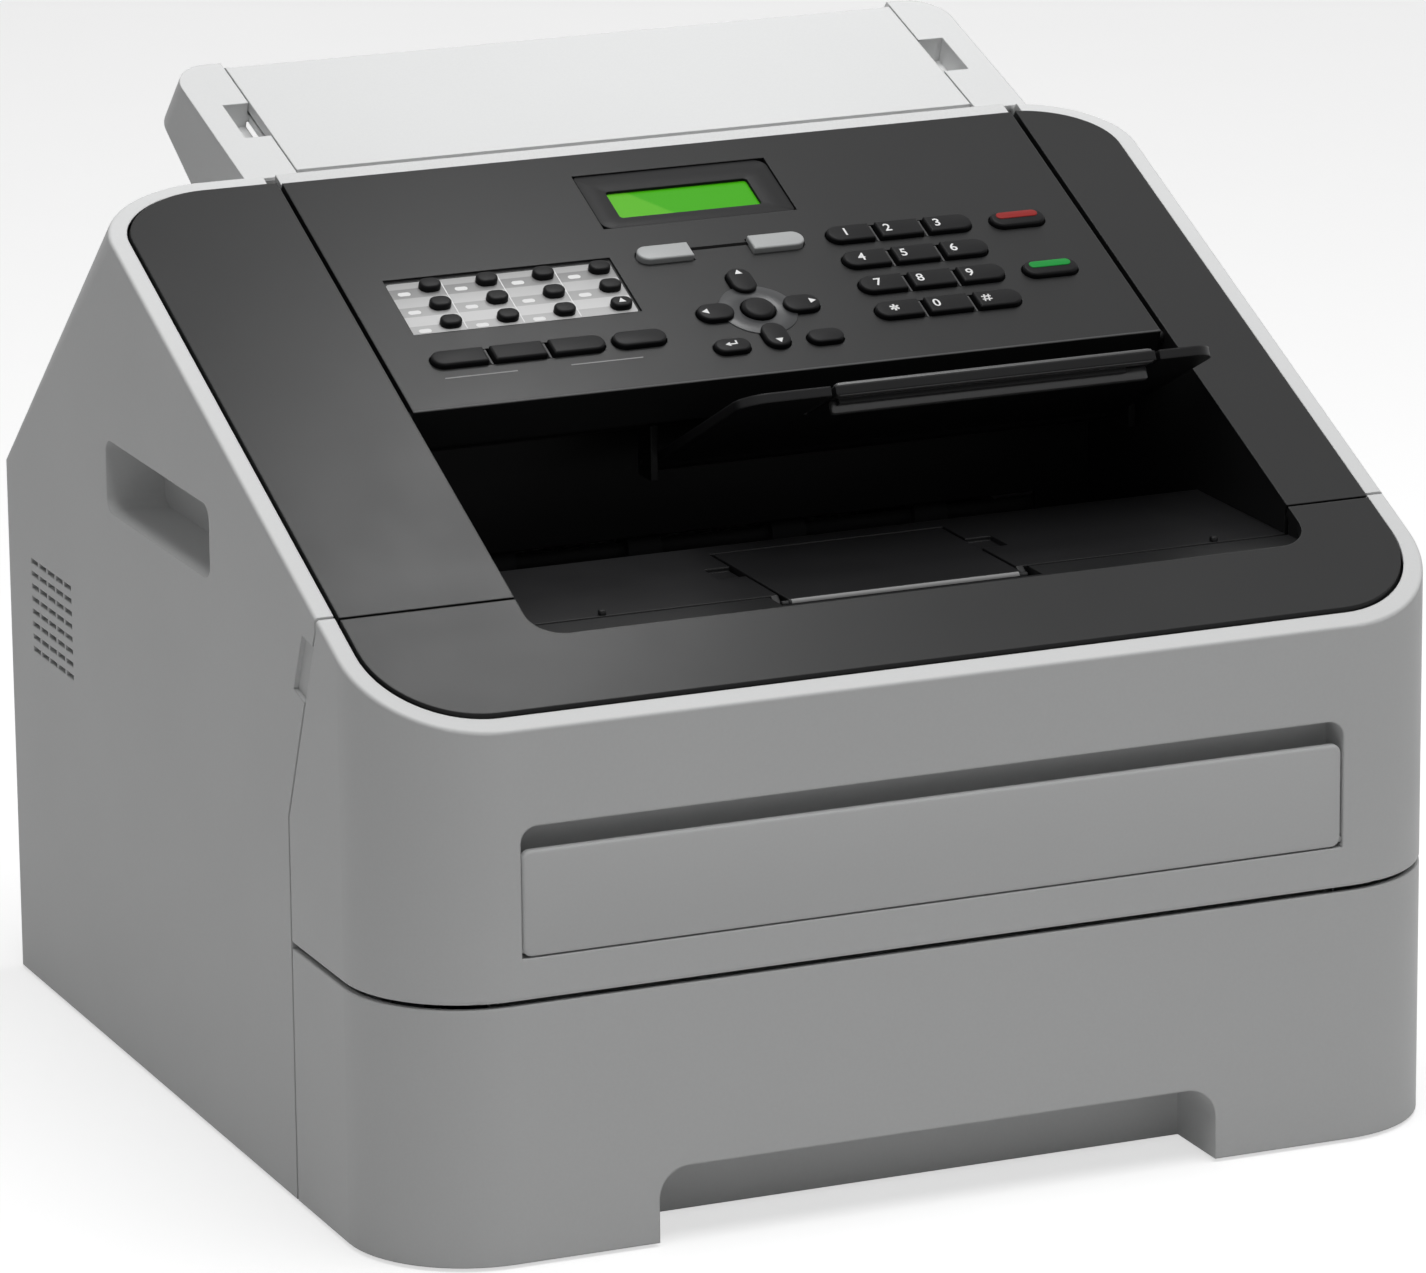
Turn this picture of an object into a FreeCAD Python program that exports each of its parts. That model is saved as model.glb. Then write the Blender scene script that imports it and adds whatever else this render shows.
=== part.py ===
"""Compact laser fax machine, an assembly of separate pieces in millimetres.

Frame: X to the right, Y to the back, Z up, origin on the table under the middle of the body.
The sloped top has a frame of its own: x as above, s up the slope from the front edge, n out of
the slope. The document tray behind the ridge has the frame x, t, n in the same way.
"""
import FreeCAD
import Part
import Sketcher
import math
import os
import re

# Driving dimensions, millimetres and degrees.
SIZES = {
    # outer form
    "width": 368.0,
    "depth": 360.0,
    "front_height": 172.0,
    "deck_angle": 23.87,
    "ridge_run": 266.7,
    "rear_wall_height": 180.0,
    "front_corner": 40.0,
    "rear_corner": 4.0,
    "ridge_corner": 40.0,
    "edge_round": 1.2,
    "wall": 2.4,
    "foot_height": 1.2,
    # rim, decks and seams
    "rim_width": 6.2,
    "deck_gap": 0.9,
    "deck_thickness": 2.5,
    "deck_proud": 1.0,
    "deck_seam": 61.0,
    "seam_gap": 1.0,
    "side_seam": 85.1,
    "seam_kink_height": 127.0,
    "seam_lean": 27.6,
    "seam_top_height": 193.5,
    # opening shared by the control panel and the output well
    "left_deck": 64.9,
    "right_deck": 35.9,
    "well_front": 41.6,
    "well_corner": 11.0,
    "well_wall": 2.4,
    # output well
    "lip_rise": 16.2,
    "bend_run": 120.0,
    "floor_run": 202.0,
    "floor_drop": 36.2,
    "sheet_wall": 2.5,
    "exit_up": 5.0,
    "exit_gap": 14.0,
    "slot_margin": 20.0,
    "bed_front": 172.0,
    "bed_back": 281.0,
    "bed_depth": 27.0,
    # output flap
    "flap_centre": 11.0,
    "flap_width": 80.0,
    "flap_start": 49.0,
    "flap_reach": 61.5,
    "pocket_width": 7.0,
    "pocket_length": 13.0,
    "pocket_depth": 6.0,
    "pocket_from_end": 16.0,
    "flap_thickness": 3.4,
    "flap_play": 1.2,
    "flap_well_depth": 16.0,
    # document output flap
    "doc_out_left": 24.0,
    "doc_out_play": 4.5,
    "doc_out_length": 84.0,
    "doc_out_angle": 26.0,
    "doc_out_run": 172.0,
    "doc_out_rise": 32.5,
    "doc_out_thickness": 3.2,
    "doc_out_corner": 9.0,
    "doc_out_centre_left": 7.3,
    "doc_out_side": 21.9,
    "doc_out_slit": 1.6,
    "doc_out_slit_depth": 26.0,
    # control panel
    "panel_gap_left": 1.6,
    "panel_gap_right": 2.0,
    "panel_front": 157.6,
    "panel_back": 285.1,
    "panel_skirt": 14.0,
    "panel_wall": 2.4,
    "strip_back": 291.5,
    "strip_depth": 5.0,
    "strip_groove": 0.5,
    "panel_hinge_in": 2.4,
    "panel_hinge_down": 3.0,
    "pin_radius": 2.0,
    "pin_play": 0.3,
    # display board
    "display_left": 19.3,
    "display_right": 49.5,
    "display_front": 243.2,
    "display_back": 273.0,
    "display_play": 0.3,
    "board_front": 166.0,
    "board_back": 276.0,
    "board_depth": 8.4,
    "board_thickness": 1.6,
    "board_margin": 6.0,
    # keys
    "key_play": 0.4,
    "key_rise": 1.8,
    "key_root": 6.9,
    "dial_shift": 0.9,
    "dial_s": 204.4,
    "dial_pitch_x": 17.7,
    "dial_pitch_s": 14.3,
    "dial_length": 16.7,
    "dial_width": 8.4,
    "side_key_shift": 3.425,
    "stop_s": 224.7,
    "start_s": 196.5,
    "side_key_length": 19.5,
    "side_key_width": 8.0,
    "nav_x": 15.1,
    "nav_s": 191.4,
    "nav_reach": 15.2,
    "nav_length": 12.6,
    "nav_width": 8.6,
    "ok_radius": 5.6,
    "small_key_s": 173.0,
    "small_key_reach": 16.5,
    "small_key_length": 12.4,
    "small_key_width": 7.0,
    "mode_s": 225.6,
    "mode_reach": 20.2,
    "mode_length": 19.0,
    "mode_width": 7.6,
    "function_shift": 21.5,
    "function_s": 182.2,
    "function_pitch": 20.3,
    "function_length": 19.3,
    "function_width": 7.6,
    "options_step": 42.2,
    "options_length": 18.4,
    "memory_step": 13.8,
    "memory_s": 212.1,
    "memory_pitch_x": 19.8,
    "memory_pitch_s": 10.1,
    "memory_length": 7.4,
    "memory_width": 5.4,
    "card_left": 44.1,
    "card_right": 35.4,
    "card_front": 14.6,
    "card_back": 15.4,
    "card_depth": 0.8,
    # front cover and manual feed door
    "cassette_height": 84.3,
    "cover_gap": 1.6,
    "cover_hinge_in": 5.0,
    "cover_hinge_up": 5.1,
    "cover_ear": 3.6,
    "door_inset": 43.5,
    "door_low": 99.1,
    "door_high": 141.3,
    "door_corner": 5.5,
    "door_leaf_top": 133.4,
    "door_thickness": 3.0,
    "door_play": 0.6,
    "door_hinge_in": 2.4,
    "door_hinge_up": 2.6,
    "door_pin": 1.2,
    "recess_depth": 12.0,
    "slot_drop": 6.0,
    "slot_height": 9.0,
    # side covers
    "handle_start": 153.0,
    "handle_length": 99.0,
    "handle_low": 187.0,
    "handle_high": 211.3,
    "handle_depth": 20.0,
    "handle_corner": 5.0,
    "vent_inset": 68.0,
    "vent_low": 119.0,
    "vent_rows": 8.0,
    "vent_columns": 5.0,
    "vent_pitch_y": 8.5,
    "vent_pitch_z": 4.4,
    "vent_length": 7.2,
    "vent_height": 1.7,
    "pocket_low": 167.5,
    "pocket_high": 188.0,
    "pocket_width": 9.0,
    "pocket_depth": 1.5,
    # rear cover
    "rear_cover_in_left": 11.1,
    "rear_cover_in_right": 14.1,
    "rear_cover_low": 62.0,
    "rear_cover_high": 146.0,
    "rear_cover_play": 0.8,
    "rear_cover_hinge": 2.4,
    # document support and flap
    "tray_angle": 18.1,
    "tray_gap": 2.2,
    "tray_length": 77.5,
    "tray_over_left": 8.2,
    "tray_over_right": 7.8,
    "tray_end_run": 9.7,
    "tray_end_drop": 19.2,
    "tray_keel_slope": 0.208,
    "tray_corner": 13.0,
    "tray_wall": 2.5,
    "doc_flap_inset": 9.5,
    "doc_flap_front": 3.4,
    "doc_flap_thickness": 3.6,
    "doc_flap_play": 0.55,
    "doc_flap_hinge": 73.6,
    "doc_flap_pin": 1.0,
    "doc_flap_pin_length": 3.6,
    "notch_front": 27.0,
    "notch_back": 49.5,
    "notch_width": 9.6,
    "notch_depth": 9.0,
    # chassis
    "frame_inset": 40.0,
    "frame_wall": 5.0,
    "frame_start": 62.0,
    "frame_end": 12.0,
    "frame_top": 148.0,
    "frame_seat": 92.0,
    "frame_plate": 2.5,
    "frame_plate_in": 23.0,
    "frame_flange": 3.3,
    "arm_height": 10.0,
    "ear_before": 7.0,
    "ear_after": 8.0,
    "ear_rise": 12.0,
    "boss_radius": 3.0,
    "bearing_play": 0.3,
    # cassette
    "box_play": 3.5,
    "box_wall": 2.5,
    "box_low": 3.2,
    "box_high": 56.0,
    "box_start": 30.0,
    "box_end": 17.0,
    "runner_low": 30.0,
    "runner_height": 6.0,
    "runner_play": 0.3,
    "finger_half": 96.0,
    "finger_height": 25.3,
    "finger_corner": 10.0,
    "finger_depth": 27.0,
    # lift plate and guides
    "plate_inset": 9.0,
    "plate_start": 10.0,
    "plate_length": 128.0,
    "plate_thickness": 1.5,
    "plate_pivot": 2.5,
    "guide_room": 33.5,
    "guide_start": 184.0,
    "guide_length": 100.0,
    "guide_high": 54.0,
    "guide_wall": 2.5,
    "guide_foot": 18.0,
    # rollers and gears
    "pickup_run": 80.0,
    "pickup_height": 76.0,
    "pickup_radius": 13.0,
    "pickup_length": 40.0,
    "pickup_shaft": 3.0,
    "fuser_run": 275.0,
    "fuser_height": 119.0,
    "fuser_radius": 11.0,
    "fuser_inset": 16.0,
    "fuser_shaft": 4.0,
    "fuser_gear": 16.0,
    "nip_gap": 0.3,
    "eject_run": 214.0,
    "eject_radius": 6.0,
    "eject_half": 104.0,
    "eject_shaft": 2.5,
    "gear_run": 230.0,
    "gear_height": 112.0,
    "gear_bore": 2.5,
    "gear_width": 9.0,
    "gear_stand": 3.0,
    "gear_mesh_gap": 0.35,
    "tooth_depth": 2.2,
    "doc_roller_s": 236.0,
    "doc_roller_depth": 17.5,
    "doc_roller_radius": 6.0,
    "doc_roller_end": 18.0,
    "doc_roller_shaft": 2.5,
    "doc_bearing_in": 9.8,
    "doc_bearing_width": 5.0,
    # cartridges, laser, scan bar
    "toner_inset": 14.0,
    "toner_start": 88.0,
    "toner_length": 63.5,
    "toner_top": 145.0,
    "toner_chin": 112.0,
    "drum_inset": 6.0,
    "drum_play": 0.5,
    "drum_length": 66.0,
    "drum_top": 122.0,
    "drum_radius": 12.0,
    "laser_inset": 32.0,
    "laser_start": 156.0,
    "laser_length": 84.0,
    "laser_low": 124.0,
    "laser_clear": 2.5,
    "laser_plate": 2.5,
    "scan_front": 205.0,
    "scan_back": 219.0,
    "scan_inset": 17.8,
    "scan_top": 14.5,
    # electronics and drive
    "motor_run": 118.0,
    "motor_height": 60.0,
    "motor_radius": 20.0,
    "motor_can": 14.0,
    "motor_stand": 6.0,
    "board_stand": 7.0,
    "main_start": 120.0,
    "main_end": 16.0,
    "main_low": 25.0,
    "main_high": 140.0,
    "socket_width": 14.0,
    "socket_low": 60.0,
    "socket_pitch": 22.0,
    "socket_depth": 17.0,
    "power_start": 88.0,
    "power_end": 18.0,
    "power_low": 10.0,
    "power_high": 78.0,
    "inlet_width": 27.0,
    "inlet_height": 20.0,
    "inlet_low": 24.0,
    "inlet_depth": 18.0,
    "inlet_recess": 12.0,
    # feet and screws
    "foot_radius": 8.0,
    "foot_inset_x": 20.0,
    "foot_inset_y": 24.0,
    "screw_radius": 1.5,
    "screw_head": 3.0,
    "screw_head_height": 1.4,
    "screw_length": 8.0,
    "screw_inset": 17.5,
    "screw_low": 12.0,
    "screw_high": 138.0,
}

# Places and reaches that follow from the driving dimensions. Those to the left or the front of the
# origin are given as positive distances from it.
PLACES = {
    "ridge_back": "ridge_run - depth / 2",
    "well_left": "width / 2 - left_deck",
    "well_right": "width / 2 - right_deck",
    "lip_height": "front_height + lip_rise",
    "floor_bend": "bend_run - depth / 2",
    "floor_back": "floor_run - depth / 2",
    "floor_back_height": "lip_height - floor_drop",
    "slot_low": "floor_back_height + exit_up",
    "slot_high": "slot_low + exit_gap",
    "flap_front": "depth / 2 - flap_start",
    "flap_end": "flap_front - flap_reach",
    "doc_out_right": "well_right - doc_out_play",
    "doc_out_hinge_back": "depth / 2 - doc_out_run",
    "doc_out_hinge_height": "front_height + doc_out_rise",
    "doc_out_centre_right": "doc_out_right - doc_out_side",
    "panel_left": "well_left - panel_gap_left",
    "panel_right": "well_right - panel_gap_right",
    "panel_half": "(panel_left + panel_right) / 2",
    "dial_x": "(panel_right + nav_x) / 2 - dial_shift",
    "side_key_x": "(panel_right + dial_x + dial_pitch_x + dial_length / 2) / 2 - side_key_shift",
    "function_x": "(panel_left - nav_x) / 2 + function_shift",
    "options_x": "function_x - options_step",
    "memory_x": "function_x - memory_step",
    "door_half": "width / 2 - door_inset",
    "handle_front": "depth / 2 - handle_start",
    "handle_back": "handle_length - handle_front",
    "vent_front": "depth / 2 - vent_inset",
    "rear_cover_left": "well_left - rear_cover_in_left",
    "rear_cover_right": "well_right - rear_cover_in_right",
    "tray_left": "well_left + tray_over_left",
    "tray_right": "well_right + tray_over_right",
    "doc_flap_left": "panel_left - doc_flap_inset",
    "doc_flap_right": "panel_right - doc_flap_inset",
    "frame_half": "width / 2 - frame_inset",
    "frame_front": "depth / 2 - frame_start",
    "frame_back": "depth / 2 - frame_end",
    "frame_plate_front": "frame_front - frame_plate_in",
    "eject_height": "(slot_low + slot_high) / 2",
    "ear_low": "eject_back - ear_before",
    "ear_high": "eject_back + ear_after",
    "ear_top": "eject_height + ear_rise",
    "box_half": "frame_half - box_play",
    "box_front": "depth / 2 - box_start",
    "box_back": "depth / 2 - box_end",
    "guide_half": "box_half - guide_room",
    "guide_front": "guide_start - depth / 2",
    "guide_back": "guide_front + guide_length",
    "plate_half": "guide_half - plate_inset",
    "plate_front": "box_front - plate_start",
    "plate_back": "plate_front - plate_length",
    "pickup_back": "depth / 2 - pickup_run",
    "fuser_back": "fuser_run - depth / 2",
    "fuser_half": "frame_half - fuser_inset",
    "eject_back": "eject_run - depth / 2",
    "gear_back": "gear_run - depth / 2",
    "doc_bearing": "panel_half - doc_bearing_in",
    "doc_roller_half": "doc_bearing - doc_roller_end",
    "toner_half": "frame_half - toner_inset",
    "toner_front": "depth / 2 - toner_start",
    "toner_back": "toner_front - toner_length",
    "drum_half": "frame_half - drum_inset",
    "drum_front": "toner_back - drum_play",
    "drum_back": "drum_length - drum_front",
    "laser_half": "frame_half - laser_inset",
    "laser_front": "depth / 2 - laser_start",
    "laser_back": "laser_length - laser_front",
    "laser_high": "floor_back_height - sheet_wall - laser_clear",
    "scan_half": "panel_half - scan_inset",
    "motor_back": "depth / 2 - motor_run",
    "main_front": "depth / 2 - main_start",
    "main_back": "depth / 2 - main_end",
    "power_front": "depth / 2 - power_start",
    "power_back": "depth / 2 - power_end",
    "screw_x": "width / 2 - screw_inset",
}

DECK_REACH = 600.0
LOFT_EXTRA = 70.0
ALIAS = re.compile(r"[A-Za-z_]+")

doc = FreeCAD.newDocument("fax_machine")
sheet = doc.addObject("Spreadsheet::Sheet", "sizes")
for row, (alias, value) in enumerate(SIZES.items(), 1):
    sheet.set(f"A{row}", alias.replace("_", " "))
    sheet.set(f"B{row}", str(value))
    sheet.setAlias(f"B{row}", alias)
doc.recompute()

# Places worked out from the driving dimensions, as formulas of the sheet.
HALF = "width / 2"
FRONT = "(-depth / 2)"
BACK = "depth / 2"
SIDE_SEAM = "(side_seam - depth / 2)"
RIDGE_HEIGHT = "(front_height + tan(deck_angle) * (ridge_back + depth / 2))"
REAR_FALL = f"(({RIDGE_HEIGHT} - rear_wall_height) / (depth / 2 - ridge_back))"
DECK_SEAM_Y = "(deck_seam * cos(deck_angle) - depth / 2)"
LIP_Y = "(well_front * cos(deck_angle) - depth / 2)"
COVER_LOW = "(cassette_height + cover_gap)"
COVER_HINGE_Y = "(cover_hinge_in - depth / 2)"
COVER_HINGE_Z = f"({COVER_LOW} + cover_hinge_up)"
DOOR_HINGE_Y = "(door_hinge_in - depth / 2)"
DOOR_HINGE_Z = "(door_low + door_hinge_up)"
INNER_BACK = "(depth / 2 - wall)"
PANEL_MID = "((panel_right - panel_left) / 2)"
TRAY_Y = "(ridge_back + tray_gap)"
TRAY_Z = f"({RIDGE_HEIGHT} - {REAR_FALL} * tray_gap + edge_round)"
FRAME_OUT = "(frame_half + frame_wall)"
GEAR_X = f"(-{FRAME_OUT} - gear_stand)"
REAR_HINGE_Y = "(depth / 2 - rear_cover_hinge)"
REAR_HINGE_Z = "(rear_cover_low + rear_cover_play + rear_cover_hinge)"
KEY_TOP = "(deck_proud + key_rise)"


def size(name):
    """Return a driving dimension, or a place that follows from them, as a number."""
    return float(sheet.evalExpression(formula(name)))


def formula(text):
    """Return a formula with each driving dimension read from the sheet."""
    def cell(match):
        word = match.group(0)
        if word in PLACES:
            return f"({formula(PLACES[word])})"
        return f"sizes.{word}" if word in SIZES else word
    return ALIAS.sub(cell, str(text))


def bind(item, **formulas):
    """Bind properties of an object; a double underscore stands for a dot in the path."""
    for path, text in formulas.items():
        item.setExpression(path.replace("__", "."), formula(text))
    return item


def at(item, x=0, y=0, z=0):
    """Bind the place of an object."""
    return bind(item, Placement__Base__x=x, Placement__Base__y=y, Placement__Base__z=z)


def turned(item, axis, angle):
    """Turn an object about its own base point by a fixed angle."""
    item.Placement = FreeCAD.Placement(FreeCAD.Vector(), FreeCAD.Rotation(FreeCAD.Vector(*axis), angle))
    return item


def box(name, x, y, z):
    """Make a box from its spans along the three axes."""
    item = doc.addObject("Part::Box", name)
    bind(item, Length=f"({x[1]}) - ({x[0]})", Width=f"({y[1]}) - ({y[0]})", Height=f"({z[1]}) - ({z[0]})")
    return at(item, x[0], y[0], z[0])


def rod(name, axis, centre, radius, span):
    """Make a round bar along X, Y or Z; centre gives its two other coordinates in order."""
    item = doc.addObject("Part::Cylinder", name)
    bind(item, Radius=radius, Height=f"({span[1]}) - ({span[0]})")
    if axis == "x":
        return at(turned(item, (0, 1, 0), 90), span[0], centre[0], centre[1])
    if axis == "y":
        return at(turned(item, (1, 0, 0), -90), centre[0], span[0], centre[1])
    return at(item, centre[0], centre[1], span[0])


def fuse(name, *items):
    """Join solids into one."""
    item = doc.addObject("Part::MultiFuse", name)
    item.Shapes = list(items)
    item.Refine = True
    return item


def cut(name, base, *tools):
    """Cut tools out of a solid."""
    item = doc.addObject("Part::Cut", name)
    item.Base = base
    item.Tool = tools[0] if len(tools) == 1 else fuse(f"{name}_tools", *tools)
    item.Refine = True
    return item


def common(name, first, second):
    """Keep what two solids share."""
    item = doc.addObject("Part::Common", name)
    item.Base = first
    item.Tool = second
    item.Refine = True
    return item


def group(name, items):
    """Gather separate solids as one piece of the model."""
    item = doc.addObject("Part::Compound", name)
    item.Links = list(items)
    return item


def on_deck(item):
    """Stand an object that was made in x, s, n on the sloped top."""
    turned(item, (1, 0, 0), 1)
    bind(item, Placement__Rotation__Angle="deck_angle")
    return at(item, 0, FRONT, "front_height")


def on_tray(item):
    """Stand an object that was made in x, t, n on the document tray."""
    turned(item, (1, 0, 0), 1)
    bind(item, Placement__Rotation__Angle="tray_angle")
    return at(item, 0, TRAY_Y, TRAY_Z)


def plane_of(body, role):
    """Find one of a body's own origin planes."""
    return next(item for item in body.Origin.OriginFeatures if item.Role == role)


def outline(body, role, points):
    """Draw a closed outline of straight lines whose corners are bound to the sheet."""
    sketch = body.newObject("Sketcher::SketchObject", f"{body.Name}_outline")
    sketch.AttachmentSupport = [(plane_of(body, role), "")]
    sketch.MapMode = "FlatFace"
    count = len(points)
    guess = [FreeCAD.Vector(math.cos(math.tau * k / count), math.sin(math.tau * k / count), 0) * 100
             for k in range(count)]
    for k in range(count):
        sketch.addGeometry(Part.LineSegment(guess[k], guess[(k + 1) % count]))
    for k in range(count):
        sketch.addConstraint(Sketcher.Constraint("Coincident", k, 2, (k + 1) % count, 1))
    for k, place in enumerate(points):
        for kind, text, start in zip(("DistanceX", "DistanceY"), place, guess[k]):
            index = sketch.addConstraint(Sketcher.Constraint(kind, -1, 1, k, 1, start))
            sketch.setExpression(f"Constraints[{index}]", formula(text))
    return sketch


def prism(name, points, x):
    """Make a body of an outline in Y and Z, padded along X over a span."""
    body = doc.addObject("PartDesign::Body", name)
    pad = body.newObject("PartDesign::Pad", f"{name}_pad")
    pad.Profile = outline(body, "YZ_Plane", points)
    bind(pad, Length=f"({x[1]}) - ({x[0]})")
    return bind(body, Placement__Base__x=x[0])


def deck_point(s, n):
    """Give the Y and Z of a place on the sloped top, as formulas."""
    return (f"{FRONT} + ({s}) * cos(deck_angle) - ({n}) * sin(deck_angle)",
            f"front_height + ({s}) * sin(deck_angle) + ({n}) * cos(deck_angle)")


def slab(name, x, s, n):
    """Make a box that stands in the frame of the sloped top."""
    item = turned(box(name, x, s, n), (1, 0, 0), 1)
    bind(item, Placement__Rotation__Angle="deck_angle")
    return at(item, x[0], *deck_point(s[0], n[0]))


def peg(name, x, s, radius, n):
    """Make a round bar that stands up from the sloped top."""
    item = turned(rod(name, "z", (x, s), radius, n), (1, 0, 0), 1)
    bind(item, Placement__Rotation__Angle="deck_angle")
    return at(item, x, *deck_point(s, n[0]))


def hull(name, inset, drop, low):
    """Make the outer form, drawn in by inset, its sloped top lowered by drop, from a base height up."""
    vector = FreeCAD.Vector
    half = size("width") / 2 - inset
    front = inset - size("depth") / 2
    rear = size("depth") / 2 - inset
    slope = math.tan(math.radians(size("deck_angle")))
    ridge_height = size("front_height") + slope * (size("ridge_back") + size("depth") / 2)
    wall_height = size("rear_wall_height")
    top = ridge_height + LOFT_EXTRA
    rear_round = max(size("rear_corner") - inset, size("edge_round"))
    ridge_round = size("ridge_corner") - inset
    front_round = size("front_corner") - inset

    def back_at(height):
        share = (height - wall_height) / (ridge_height - wall_height)
        return rear + (size("ridge_back") - inset - rear) * share

    def round_at(height):
        share = (height - wall_height) / (ridge_height - wall_height)
        return rear_round + (ridge_round - rear_round) * share

    def corner_waste(height, side):
        r = round_at(height)
        back = back_at(height)
        inner = vector(side * (half - r), back, height)
        outer = vector(side * half, back - r, height)
        middle = vector(side * (half - r * (1 - math.sqrt(0.5))), back - r * (1 - math.sqrt(0.5)), height)
        far = [outer, vector(side * (half + LOFT_EXTRA), back - r, height),
               vector(side * (half + LOFT_EXTRA), back + LOFT_EXTRA, height),
               vector(side * (half - r), back + LOFT_EXTRA, height), inner]
        lines = [Part.LineSegment(far[k], far[k + 1]).toShape() for k in range(4)]
        return Part.Wire([Part.Arc(inner, middle, outer).toShape()] + lines)

    front_bend = front_round * (1 - math.sqrt(0.5))
    arcs = [Part.Arc(vector(side * half, front + front_round, low),
                     vector(side * (half - front_bend), front + front_bend, low),
                     vector(side * (half - front_round), front, low)).toShape() for side in (-1, 1)]
    path = [vector(half, front + front_round, low), vector(half, rear, low), vector(-half, rear, low),
            vector(-half, front + front_round, low)]
    lines = [Part.LineSegment(path[k], path[k + 1]).toShape() for k in range(3)]
    lines.append(Part.LineSegment(vector(-half + front_round, front, low),
                                  vector(half - front_round, front, low)).toShape())
    plan = Part.Wire(Part.__sortEdges__(arcs + lines))
    solid = Part.Face(plan).extrude(vector(0, 0, top - low))
    wedge = [vector(-DECK_REACH, rear, wall_height), vector(-DECK_REACH, back_at(top), top),
             vector(-DECK_REACH, DECK_REACH, top), vector(-DECK_REACH, DECK_REACH, wall_height)]
    waste = [Part.Face(Part.makePolygon(wedge + wedge[:1])).extrude(vector(2 * DECK_REACH, 0, 0))]
    for side in (-1, 1):
        corner = Part.Face(corner_waste(wall_height, side))
        waste.append(corner.extrude(vector(0, 0, low - wall_height - LOFT_EXTRA)))
        waste.append(Part.makeLoft([corner_waste(wall_height, side), corner_waste(top, side)], True, True))
    above = Part.makeBox(2 * DECK_REACH, 2 * DECK_REACH, DECK_REACH)
    above.translate(vector(-DECK_REACH, -DECK_REACH, -drop))
    above.rotate(vector(), vector(1, 0, 0), size("deck_angle"))
    above.translate(vector(0, -size("depth") / 2, size("front_height")))
    for tool in waste + [above]:
        solid = solid.cut(tool)
    item = doc.addObject("Part::Feature", name)
    item.Shape = solid.removeSplitter()
    return item


def soften(name, base, radius, chosen):
    """Round the edges of a solid that a test chooses."""
    doc.recompute()
    item = doc.addObject("Part::Fillet", name)
    item.Base = base
    picked = [k for k, edge in enumerate(base.Shape.Edges, 1) if chosen(edge)]
    item.Edges = [(k, size(radius), size(radius)) for k in picked]
    return item


def on_slope(edge):
    """Tell whether an edge lies in the sloped top."""
    slope = math.tan(math.radians(size("deck_angle")))
    return all(abs(point.z - size("front_height") - slope * (point.y + size("depth") / 2)) < 0.01
               for point in edge.discretize(5))


def gear(name, tip, teeth, bore, x, centre):
    """Make a spur gear that turns about X, with its face towards -X at x."""
    body = doc.addObject("PartDesign::Body", name)
    disc = body.newObject("Sketcher::SketchObject", f"{name}_disc")
    disc.AttachmentSupport = [(plane_of(body, "YZ_Plane"), "")]
    disc.MapMode = "FlatFace"
    for radius in (f"{tip} - tooth_depth", bore):
        ring = disc.addGeometry(Part.Circle(FreeCAD.Vector(), FreeCAD.Vector(0, 0, 1),
                                            1.0 + disc.GeometryCount))
        disc.addConstraint(Sketcher.Constraint("Coincident", ring, 3, -1, 1))
        index = disc.addConstraint(Sketcher.Constraint("Radius", ring, 1.0 + ring))
        disc.setExpression(f"Constraints[{index}]", formula(radius))
    web = body.newObject("PartDesign::Pad", f"{name}_web")
    web.Profile = disc
    bind(web, Length="gear_width")
    tooth = f"({tip} * 1.4 / {teeth})"
    points = [(f"-{tooth}", f"{tip} - 2 * tooth_depth"), (tooth, f"{tip} - 2 * tooth_depth"),
              (f"{tooth} / 2", tip), (f"-{tooth} / 2", tip)]
    crown = body.newObject("PartDesign::Pad", f"{name}_tooth")
    crown.Profile = outline(body, "YZ_Plane", points)
    bind(crown, Length="gear_width")
    ring = body.newObject("PartDesign::PolarPattern", f"{name}_teeth")
    ring.Originals = [crown]
    ring.Axis = (plane_of(body, "X_Axis"), [""])
    ring.Angle = 360
    ring.Occurrences = teeth
    body.Tip = ring
    return at(body, x, centre[0], centre[1])


def pill(name, x, s, length, width, round_left=True, round_right=True):
    """Make a key in the frame of the sloped top, its ends round or straight."""
    ends = []
    low, high = "-key_root", KEY_TOP
    left = f"({x}) - ({length}) / 2"
    right = f"({x}) + ({length}) / 2"
    if round_left:
        left = f"{left} + ({width}) / 2"
        ends.append(rod(f"{name}_left", "z", (left, s), f"({width}) / 2", (low, high)))
    if round_right:
        right = f"{right} - ({width}) / 2"
        ends.append(rod(f"{name}_right", "z", (right, s), f"({width}) / 2", (low, high)))
    across = (f"({s}) - ({width}) / 2", f"({s}) + ({width}) / 2")
    if not ends:
        return slab(name, (left, right), across, (low, high))
    return on_deck(fuse(name, box(f"{name}_bar", (left, right), across, (low, high)), *ends))


def tall_pill(name, x, s, length, width):
    """Make a key in the frame of the sloped top that is long up the slope."""
    low, high = "-key_root", KEY_TOP
    near = f"({s}) - ({length}) / 2 + ({width}) / 2"
    far = f"({s}) + ({length}) / 2 - ({width}) / 2"
    bar = box(f"{name}_bar", (f"({x}) - ({width}) / 2", f"({x}) + ({width}) / 2"), (near, far), (low, high))
    ends = [rod(f"{name}_{tag}", "z", (x, place), f"({width}) / 2", (low, high))
            for tag, place in (("near", near), ("far", far))]
    return on_deck(fuse(name, bar, *ends))


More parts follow.
